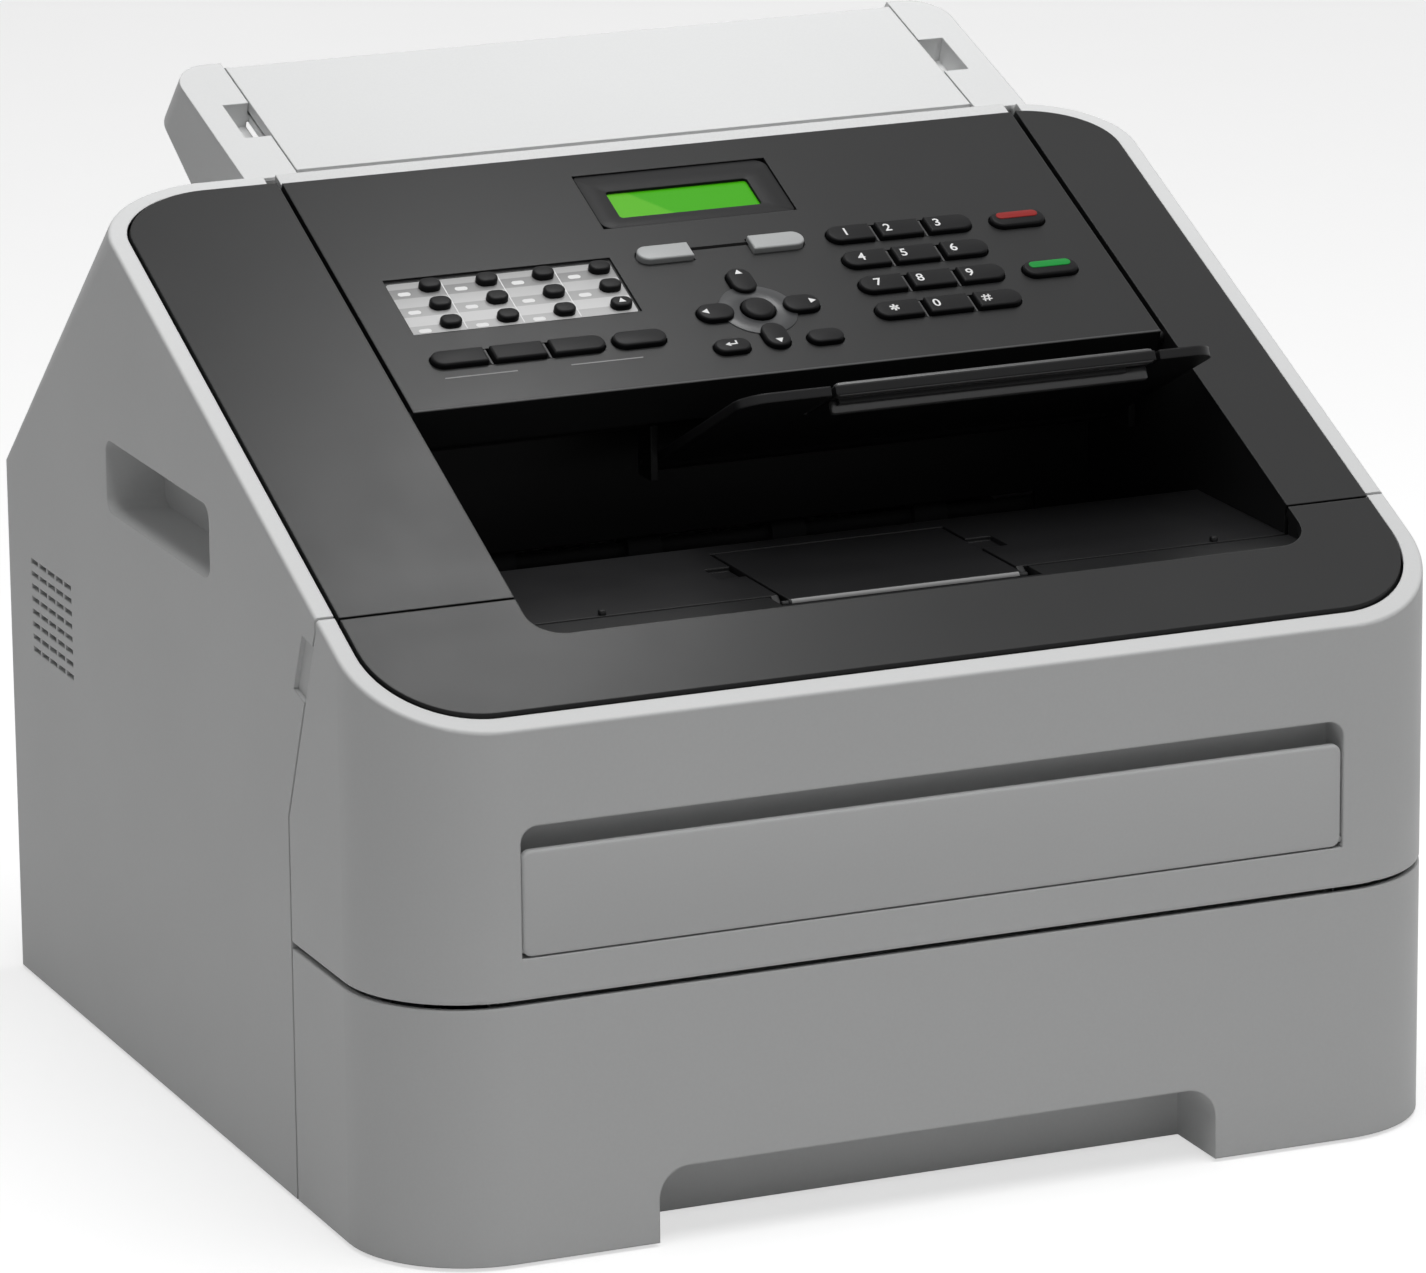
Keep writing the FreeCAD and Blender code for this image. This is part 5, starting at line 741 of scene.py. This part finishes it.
@dataclass
class Legend:
    """Printed mark on a key or the panel, as a thin raised film."""
    body: str
    x: float
    s: float
    face: float
    film: float = 0.03
    type_scale: float = 1.38
    type_weight: float = 0.07

    def text(self, digit: str, height: float) -> None:
        """Print a digit.

        Args:
            digit: Digit to print.
            height: Height of the digit.
        """
        curve = bpy.data.curves.new(f"{self.body}_type", "FONT")
        curve.body = digit
        curve.size = height * self.type_scale * MM
        curve.align_x = "CENTER"
        curve.align_y = "CENTER"
        curve.offset = self.type_weight * MM
        curve.extrude = self.film * MM
        draft = bpy.data.objects.new(f"{self.body}_type", curve)
        bpy.context.scene.collection.objects.link(draft)
        bpy.context.view_layer.update()
        mesh = bpy.data.meshes.new_from_object(draft.evaluated_get(bpy.context.evaluated_depsgraph_get()))
        bpy.data.objects.remove(draft)
        mesh.transform(Matrix.Translation((self.x * MM, self.s * MM, self.face * MM)))
        mesh.materials.clear()
        piece = bpy.data.objects.new(f"{self.body}_digit", mesh)
        bpy.context.scene.collection.objects.link(piece)
        seat(piece, LEGEND_WHITE, self.body)

    def shape(self, tag: str, outlines: Sequence[Sequence[Point]], finish: Finish = LEGEND_WHITE) -> None:
        """Print filled outlines.

        Args:
            tag: Word for the name of the piece.
            outlines: Closed outlines about the mark's place.
            finish: Colour of the print.
        """
        maker = bmesh.new()
        for points in outlines:
            add_stack(maker, (self.x, self.s), lambda inset, points=points: list(points),
                      ((0.0, self.face - self.film), (0.0, self.face + self.film)))
        seat(new_object(f"{self.body}_{tag}", maker), finish, self.body)


@dataclass(frozen=True)
class Slab:
    """Low piece of equal forms with round corners, its levels pairs of inset and height."""
    name: str
    spots: Sequence[Point]
    size: Point
    corner: float
    levels: Sequence[Point]
    finish: Finish
    slot: Slots
    body: Bodies = Bodies.PANEL
    place: SlopeFrame | None = DECK
    steps: int = 8
    crease: float = 40.0

    def build(self) -> bpy.types.Object:
        """Make the piece.

        Returns:
            The piece.
        """
        maker = bmesh.new()
        for spot in self.spots:
            add_stack(maker, spot, plan(*self.size, self.corner, self.steps), self.levels)
        piece = new_object(self.name, maker, self.crease)
        return seat(piece, self.finish, self.body.value, self.place)


def build_ribs(name: str, spots: Sequence[Point], size: Point) -> None:
    """Make the panel's ribs between neighbouring keys."""
    levels = moved(((0.0, -5.0), (0.0, -0.2), (0.15, -0.02)), 0.0, PANEL_TOP)
    Slab(name, spots, size, 0.2, levels, RIB_AND_HIGHLIGHT_GREY, Slots.DECK, steps=3).build()


@dataclass
class DialPad:
    """Twelve dial keys in four rows, with their digits."""
    x: float = 79.7
    s: float = 204.4
    pitch_x: float = 17.7
    pitch_s: float = 14.3
    length: float = 16.7
    width: float = 8.4
    gap: float = 2.3
    rib: float = 0.8
    rib_longer: float = 0.5
    digit_height: float = 3.9
    digit_shift: float = -4.4
    round_end_shift: float = -1.6
    star_size: Point = (3.4, 0.75)
    hash_upright: tuple[float, float, float] = (3.6, 0.55, 78.0)
    hash_level: Point = (3.4, 0.55)
    hash_step: float = 0.75
    rows: tuple[tuple[str, ...], ...] = (("1", "2", "3"), ("4", "5", "6"), ("7", "8", "9"),
                                         ("star", "0", "hash"))

    def row_s(self, row: int) -> float:
        """Return the place of a row up the slope, counted from the back."""
        return self.s + (1.5 - row) * self.pitch_s

    def build(self) -> None:
        """Make the keys, their digits and the ribs between them."""
        forms = (KeyForm.LEFT, KeyForm.NONE, KeyForm.RIGHT)
        for row, names in enumerate(self.rows):
            for column, (word, form) in enumerate(zip(names, forms)):
                key = Key(f"dial_key_{word}", self.x + (column - 1) * self.pitch_x, self.row_s(row),
                          self.length, self.width, form)
                key.trim((self.gap - self.pitch_x + self.length) / 2)
                key.build()
                self.mark(key, word)
        spots = [(self.x + side * self.pitch_x / 2, self.row_s(row))
                 for row in range(len(self.rows)) for side in (-1, 1)]
        build_ribs("dial_ribs", spots, (self.rib, self.width + self.rib_longer))

    def mark(self, key: Key, word: str) -> None:
        """Print the digit near the left end of a key.

        Args:
            key: The key.
            word: Digit, or the name of a sign.
        """
        shift = self.round_end_shift if key.form is KeyForm.LEFT else self.digit_shift
        legend = Legend(key.name, key.x + shift, key.s, key.top)
        if word == "star":
            legend.shape("sign", [bar(*self.star_size, turn) for turn in (90.0, 30.0, -30.0)])
        elif word == "hash":
            steps = (-self.hash_step, self.hash_step)
            lines = [moved(bar(*self.hash_upright), step, 0.0) for step in steps]
            lines += [moved(bar(*self.hash_level), 0.0, step) for step in steps]
            legend.shape("sign", lines)
        else:
            legend.text(word, self.digit_height)


@dataclass
class CommandKeys:
    """Stop and start, arrow keys round OK, clear, menu and the two mode keys."""
    side_x: float = 122.5
    stop_s: float = 224.7
    start_s: float = 196.5
    side_size: Point = (19.5, 8.0)
    bar_size: Point = (15.0, 3.4)
    bar_shift: float = 1.1
    bar_sink: float = 0.4
    bar_rise: float = 0.25
    nav_x: float = 15.1
    nav_s: float = 191.4
    nav_reach: float = 15.2
    nav_length: float = 12.6
    nav_width: float = 8.6
    arrow_size: Point = (2.3, 1.35)
    arrow_inset: float = 2.6
    ok_radius: float = 5.6
    small_s: float = 173.0
    small_reach: float = 16.5
    small_size: Point = (12.4, 7.0)
    mode_s: float = 225.6
    mode_reach: float = 20.2
    mode_size: Point = (19.0, 7.6)
    groove_shift: float = 1.9
    groove_width: float = 1.6
    disc_radius: float = 13.2
    disc_gap: float = 0.5
    disc_rise: float = 0.3
    disc_soft: float = 0.25

    def build(self) -> None:
        """Make the keys, their marks and the shiny disc behind OK."""
        self.build_side_keys()
        self.build_arrows()
        self.build_small_keys()
        self.build_mode_keys()
        self.build_disc()

    def build_side_keys(self) -> None:
        """Make the stop and start keys with their coloured bars."""
        for name, s, finish in (("stop_key", self.stop_s, STOP_RED),
                                ("start_key", self.start_s, START_GREEN)):
            key = Key(name, self.side_x, s, *self.side_size, soft=1.0)
            key.build()
            maker = bmesh.new()
            Key(name, self.side_x, s + self.bar_shift, *self.bar_size, root=key.top - self.bar_sink,
                top=key.top + self.bar_rise, soft=0.3).add_to(maker)
            seat(new_object(f"{name}_bar", maker, SOFT_CREASE), finish, name)

    def build_arrows(self) -> None:
        """Make the four arrow keys and OK."""
        for name, turn in (("right_key", 0), ("up_key", 90), ("left_key", 180), ("down_key", 270)):
            step_x, step_s = round(math.cos(math.radians(turn))), round(math.sin(math.radians(turn)))
            size = (self.nav_length, self.nav_width) if step_x else (self.nav_width, self.nav_length)
            key = Key(name, self.nav_x + step_x * self.nav_reach, self.nav_s + step_s * self.nav_reach, *size)
            key.build()
            tip = self.nav_reach + self.nav_length / 2 - self.arrow_inset
            legend = Legend(name, self.nav_x + step_x * tip, self.nav_s + step_s * tip, key.top)
            legend.shape("arrow", [arrow_head(*self.arrow_size, turn)])
        Key("ok_key", self.nav_x, self.nav_s, 2 * self.ok_radius, 2 * self.ok_radius, soft=1.4).build()

    def build_small_keys(self) -> None:
        """Make clear with its hooked arrow, and menu."""
        clear = Key("clear_key", self.nav_x - self.small_reach, self.small_s, *self.small_size)
        clear.build()
        Key("menu_key", self.nav_x + self.small_reach, self.small_s, *self.small_size).build()
        hook = [bar(3.2, 0.6), moved(bar(1.9, 0.6, 90.0), 1.4, 0.7),
                moved(arrow_head(1.8, 1.1, 180.0), -1.6, 0.0)]
        Legend("clear_key", clear.x, clear.s, clear.top).shape("return_mark", hook)

    def build_mode_keys(self) -> None:
        """Make the two mode keys, and between them a near-black film that paints the shade of a groove."""
        for name, side, form in (("fax_mode_key", -1, KeyForm.LEFT), ("copy_mode_key", 1, KeyForm.RIGHT)):
            Key(name, self.nav_x + side * self.mode_reach, self.mode_s, *self.mode_size, form, MODE_GREY,
                top=3.0, soft=0.7).build()
        groove = Legend(PANEL, self.nav_x, self.mode_s + self.groove_shift, PANEL_TOP)
        gap = 2 * self.mode_reach - self.mode_size[0]
        groove.shape("mode_groove", [bar(gap, self.groove_width)], GROOVE_PAINTED_SHADE)

    def build_disc(self) -> None:
        """Make the low domed ring that the arrow keys lie on."""
        maker = bmesh.new()
        add_ring(maker, (self.nav_x, self.nav_s), lambda inset: circle_outline(self.disc_radius - inset),
                 lambda inset: circle_outline(self.ok_radius + self.disc_gap - inset),
                 PANEL_TOP - self.disc_rise, PANEL_TOP + self.disc_rise, self.disc_soft)
        seat(new_object("navigation_disc", maker), NAV_GREY, PANEL)


@dataclass
class MemoryField:
    """Function keys, one-touch keys and the silver card round them."""
    function_x: float = -72.7
    function_s: float = 182.2
    function_pitch: float = 20.3
    function_length: float = 19.3
    function_width: float = 7.6
    function_gap: float = 2.3
    options_x: float = -30.5
    options_length: float = 18.4
    rib: float = 0.9
    rib_longer: float = 0.5
    memory_x: float = -58.9
    memory_s: float = 212.1
    pitch_x: float = 19.8
    pitch_s: float = 10.1
    memory_size: Point = (7.4, 5.4)
    card_middle: Point = (-63.575, 211.75)
    card_size: Point = (78.45, 28.1)
    card_corner: float = 1.5
    card_floor: float = 0.2
    divider_short: float = 2.0
    print_rise: float = 0.32
    divider_width: float = 0.4
    divider_shift: float = -5.2
    oval_shift: Point = (-9.6, -2.4)
    line_s: float = 173.4
    line_size: Point = (25.0, 0.5)
    left_line_x: float = -88.5
    right_line_x: float = -45.0

    def spots(self) -> list[Point]:
        """Return the places of the one-touch keys, row by row from the back."""
        return [(self.memory_x + (column - 1.5) * self.pitch_x, self.memory_s + (1 - row) * self.pitch_s)
                for row in range(3) for column in range(4)]

    def build(self) -> None:
        """Make the keys, the card and the lines on the panel."""
        keys = [Key("function_keys", self.function_x + (k - 1) * self.function_pitch, self.function_s,
                    self.function_length, self.function_width, form)
                for k, form in enumerate((KeyForm.LEFT, KeyForm.NONE, KeyForm.RIGHT))]
        for key in keys:
            key.trim((self.function_gap - self.function_pitch + self.function_length) / 2)
        keys.append(Key("function_keys", self.options_x, self.function_s, self.options_length,
                        self.function_width))
        self.build_group("function_keys", keys)
        spots = [(self.function_x + side * self.function_pitch / 2, self.function_s) for side in (-1, 1)]
        build_ribs("function_ribs", spots, (self.rib, self.function_width + self.rib_longer))
        self.build_group("one_touch_keys",
                         [Key("one_touch_keys", *spot, *self.memory_size) for spot in self.spots()])
        self.build_card()
        self.build_lines()

    def build_group(self, node: str, keys: Sequence[Key]) -> None:
        """Make keys that share a node as one piece.

        Args:
            node: Name of the node.
            keys: The keys.
        """
        maker = bmesh.new()
        for key in keys:
            key.add_to(maker)
        piece = seat(new_object(f"{node}_caps", maker, SOFT_CREASE), KEY_BLACK, node)
        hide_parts(node)

    def build_card(self) -> None:
        """Make the card in its pocket, with dividers and pale ovals."""
        levels = moved(((0.0, 0.0), (0.0, 0.2), (0.1, 0.3)), 0.0, self.card_floor)
        Slab("one_touch_card", (self.card_middle,), self.card_size, self.card_corner, levels, CARD,
             Slots.MODE_KEYS).build()
        face = self.card_floor + self.print_rise
        strip = bar(self.divider_width, self.card_size[1] - self.divider_short)
        for k in range(3):
            x = self.memory_x + (k - 1) * self.pitch_x + self.divider_shift
            Legend(PANEL, x, self.card_middle[1], face).shape(f"divider_{k + 1}", [strip])
        *marked, last = self.spots()
        oval = moved(rounded_outline(4.4, 2.0, [1.0] * 4, 5), *self.oval_shift)
        ovals = [moved(oval, *spot) for spot in marked]
        Legend(PANEL, 0.0, 0.0, face).shape("pale_ovals", ovals)
        Legend("one_touch_keys", *last, Key.top).shape("shift_mark", [arrow_head(2.2, 1.3, 90.0)])

    def build_lines(self) -> None:
        """Print the two thin lines before the function keys."""
        for tag, x in (("left_line", self.left_line_x), ("right_line", self.right_line_x)):
            line = Legend(PANEL, x, self.line_s, PANEL_TOP)
            line.shape(tag, [bar(*self.line_size)], LINE_AND_HIGHLIGHT_GREY)


@dataclass
class DisplayUnit:
    """Display in its bezel on the key board, which stands for the display board."""
    middle: Point = (15.1, 258.1)
    size: Point = (68.8, 29.8)
    face: float = 0.7
    corner: float = 4.2
    small_corner: float = 1.4
    edge: float = 0.2
    window_middle: Point = (14.1, 256.0)
    window_size: Point = (50.8, 14.8)
    window_corner: float = 1.2
    window_depth: float = 1.1
    glass_under: float = 1.0
    glass_thickness: float = 2.0
    board_middle: Point = (14.3, 221.0)
    board_size: Point = (251.6, 110.0)
    board_corner: float = 2.0
    board_low: float = -10.0
    board_high: float = -8.4

    def build(self) -> None:
        """Make the board, the bezel and the glass."""
        levels = ((0.0, self.board_low), (0.0, self.board_high))
        board = Slab("key_board", (self.board_middle,), self.board_size, self.board_corner, levels, KEY_BOARD,
                     Slots.BOARDS).build()
        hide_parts("display_board")
        self.build_bezel()
        self.build_glass()

    def rim(self, inset: float) -> list[Point]:
        """Return the bezel's outline drawn in by an inset."""
        radii = [max(radius - inset, self.edge) for radius in (self.corner, self.small_corner) * 2]
        return rounded_outline(*(side - 2 * inset for side in self.size), radii)

    def build_bezel(self) -> None:
        """Make the bezel as a deep frame round the window."""
        shift = [there - here for there, here in zip(self.window_middle, self.middle)]
        window = plan(*self.window_size, self.window_corner)
        maker = bmesh.new()
        add_ring(maker, self.middle, self.rim, lambda inset: moved(window(inset), *shift), self.board_high,
                 self.face, self.edge)
        seat(new_object("display_bezel", maker), BEZEL_BLACK, PANEL)

    def build_glass(self) -> None:
        """Make the green glass below the bezel's face."""
        top = self.face - self.window_depth
        size = tuple(side + self.glass_under for side in self.window_size)
        levels = ((0.0, top - self.glass_thickness), (0.0, top))
        Slab("display_glass", (self.window_middle,), size, self.window_corner, levels, GLASS_GREEN,
             Slots.KEYS).build()


@dataclass
class FlapTrim:
    """Bead and lip along the front edge of the raised document output flap, lighter than the flap to paint
    its highlight.

    In the flap's frame s runs from the hinge and is negative to the front.
    """
    hinge: SlopeFrame = SlopeFrame(y=-8.0, z=204.5, angle=-26.0)
    middle: float = 64.5
    length: float = 111.8
    bead_s: float = -82.1
    lip_s: float = -75.5

    def build(self) -> None:
        """Make the bead and the lower lip."""
        for name, s, width, low, high in (("flap_bead", self.bead_s, 3.4, -2.2, 2.6),
                                          ("flap_lower_lip", self.lip_s, 2.6, -6.2, -1.4)):
            levels = ((0.6, low), (0.0, low + 0.6), (0.0, high - 0.9), (0.25, high - 0.3), (0.9, high))
            Slab(name, ((self.middle, s),), (self.length, width), 0.8, levels, BEAD_PAINTED_HIGHLIGHT, Slots.WELL,
                 Bodies.DOCUMENT_OUTPUT_FLAP, self.hinge, steps=4, crease=SOFT_CREASE).build()


@dataclass
class FeedDoor:
    """Manual feed door as a leaf with soft corners and edges, with its two hinge pins."""
    face_y: float = -179.7
    low: float = 99.6
    high: float = 133.4
    half: float = 139.9
    thickness: float = 3.0
    corner: float = 3.0
    back_edge: float = 0.6
    front_edge: tuple[Point, ...] = ((0.0, -0.9), (0.08, -0.55), (0.28, -0.26), (0.55, -0.08), (0.9, 0.0))
    pin_start: float = 138.9
    pin_end: float = 142.9
    pin_radius: float = 1.2
    pin_sides: int = 16
    hinge_in: float = 2.1
    hinge_up: float = 2.1

    def build(self) -> None:
        """Make the leaf and its pins in place of the plain door."""
        maker = bmesh.new()
        add_stack(maker, (0.0, 0.0), plan(2 * self.half, self.high - self.low, self.corner),
                  ((self.back_edge, -self.thickness), (0.0, self.back_edge - self.thickness),
                   *self.front_edge))
        self.add_pin(maker, -self.pin_end, -self.pin_start)
        self.add_pin(maker, self.pin_start, self.pin_end)
        place = SlopeFrame(self.face_y, (self.low + self.high) / 2, 90.0)
        door = seat(new_object("feed_door_leaf", maker), CASING, Bodies.FEED_DOOR.value, place)
        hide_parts("manual_feed_door")

    def add_pin(self, maker: Maker, *ends: float) -> None:
        """Add a hinge pin.

        Args:
            maker: Mesh that gets the pin.
            ends: Its left and its right end along x.
        """
        middle = (self.hinge_up - (self.high - self.low) / 2, -self.hinge_in)
        section = moved(circle_outline(self.pin_radius, self.pin_sides), *middle)
        bridge(maker, [[maker.verts.new((x, s, n)) for s, n in section] for x in ends])


@dataclass
class SmallTrim:
    """Beads on the panel's and the output flap's front edges, lighter than those parts to paint highlights,
    and the stop pegs in the output well.
    """
    slabs: tuple[Slab, ...] = (
        # Grey strip on the dark panel: a painted highlight along its front edge.
        Slab("panel_front_bead", spots=((14.3, 158.1),), size=(263.2, 0.9), corner=0.3,
             levels=moved(((0.0, -0.8), (0.0, -0.1), (0.12, 0.06), (0.35, 0.12)), 0.0, PANEL_TOP),
             finish=RIB_AND_HIGHLIGHT_GREY, slot=Slots.DECK, steps=4),
        Slab("stop_pegs", spots=((-89.0, -122.0), (123.0, -122.0)), size=(2.2, 2.2), corner=0.4,
             levels=((0.0, 187.9), (0.0, 189.4), (0.3, 189.8)),
             finish=WELL_BLACK, slot=Slots.WELL, body=Bodies.CHASSIS, place=None, steps=4),
        # Grey strip on the black flap: a painted highlight along its front edge.
        Slab("output_flap_bead", spots=((11.0, 0.0),), size=(79.0, 1.6), corner=0.3,
             levels=((0.0, 1.2), (0.0, 1.5), (0.3, 1.72), (0.55, 1.8)),
             finish=LINE_AND_HIGHLIGHT_GREY, slot=Slots.WELL, body=Bodies.OUTPUT_FLAP,
             place=SlopeFrame(y=-129.3, z=186.5, angle=45.0), steps=4))

    def build(self) -> None:
        """Make the beads and the pegs."""
        for slab in self.slabs:
            slab.build()


@dataclass(frozen=True)
class SoftBox:
    """Square lamp: place, aim and side in metres, power in watts."""
    name: str
    place: Triple
    aim: Triple
    size: float
    power: float

    def build(self) -> None:
        """Hang the lamp."""
        light = bpy.data.lights.new(self.name, "AREA")
        light.size = self.size
        light.energy = self.power
        lamp = bpy.data.objects.new(self.name, light)
        lamp.location = self.place
        lamp.rotation_euler = (Vector(self.aim) - Vector(self.place)).to_track_quat("-Z", "Y").to_euler()
        bpy.context.scene.collection.objects.link(lamp)


@dataclass
class Studio:
    """Floor, soft light and the camera, all outside the object, in metres and degrees."""
    floor_size: float = 12.0
    ambient: float = 0.15
    boxes: tuple[SoftBox, ...] = (
        SoftBox("overhead_box", place=(0.1, -0.4, 2.2), aim=(0.0, 0.0, 0.2), size=1.6, power=32.5),
        SoftBox("sheen_box", place=(0.114, 0.169, 0.788), aim=(-0.15, -0.11, 0.2), size=0.14, power=0.75))
    camera_place: Triple = (-1.0386, -2.4459, 0.8685)
    azimuth: float = -23.02
    elevation: float = 15.45
    roll: float = -0.57
    lens: float = 211.2
    sensor: float = 36.0
    shift_x: float = -0.0009
    shift_y: float = 0.0132

    def build(self) -> None:
        """Make floor, world, lamps and camera, and set the plain view transform."""
        self.build_floor()
        self.build_world()
        for box in self.boxes:
            box.build()
        self.build_camera()
        bpy.context.scene.view_settings.view_transform = "Standard"

    def build_floor(self) -> None:
        """Make the floor as a wide grid."""
        maker = bmesh.new()
        bmesh.ops.create_grid(maker, x_segments=8, y_segments=8, size=self.floor_size / 2 / MM)
        floor = new_object("studio_floor", maker)
        floor.data.materials.append(material_of(FLOOR))

    def build_world(self) -> None:
        """Make a world that is white to the eye and gives a plain ambient light."""
        nodes = NodeTree("studio_world", world=True)
        level = nodes.span(nodes.seen(), self.ambient, 1.0)
        back = nodes.add("Background", {"Strength": level, "Color": (1.0, 1.0, 1.0, 1.0)})
        nodes.add("OutputWorld", {"Surface": back.outputs[0]})
        bpy.context.scene.world = nodes.owner

    def build_camera(self) -> None:
        """Place the camera at the photograph's angle."""
        pose = Matrix.Translation(self.camera_place)
        for angle, axis in ((self.azimuth, "Z"), (90.0 - self.elevation, "X"), (self.roll, "Z")):
            pose = pose @ Matrix.Rotation(math.radians(angle), 4, axis)
        data = bpy.data.cameras.new("camera")
        data.sensor_fit = "HORIZONTAL"
        data.sensor_width = self.sensor
        data.lens = self.lens
        data.shift_x = self.shift_x
        data.shift_y = self.shift_y
        data.clip_end = 100.0
        camera = bpy.data.objects.new("camera", data)
        camera.matrix_world = pose
        bpy.context.scene.collection.objects.link(camera)
        bpy.context.scene.camera = camera


def main() -> None:
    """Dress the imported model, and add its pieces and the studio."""
    logging.basicConfig(level=logging.INFO, format="%(name)s: %(message)s")
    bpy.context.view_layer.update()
    dress_nodes(NODE_FINISHES)
    for assembly in (DialPad(), CommandKeys(), MemoryField(), DisplayUnit(), FlapTrim(), FeedDoor(),
                     SmallTrim(), Studio()):
        LOG.info("building %s", type(assembly).__name__)
        assembly.build()


if __name__ == "__main__":
    main()
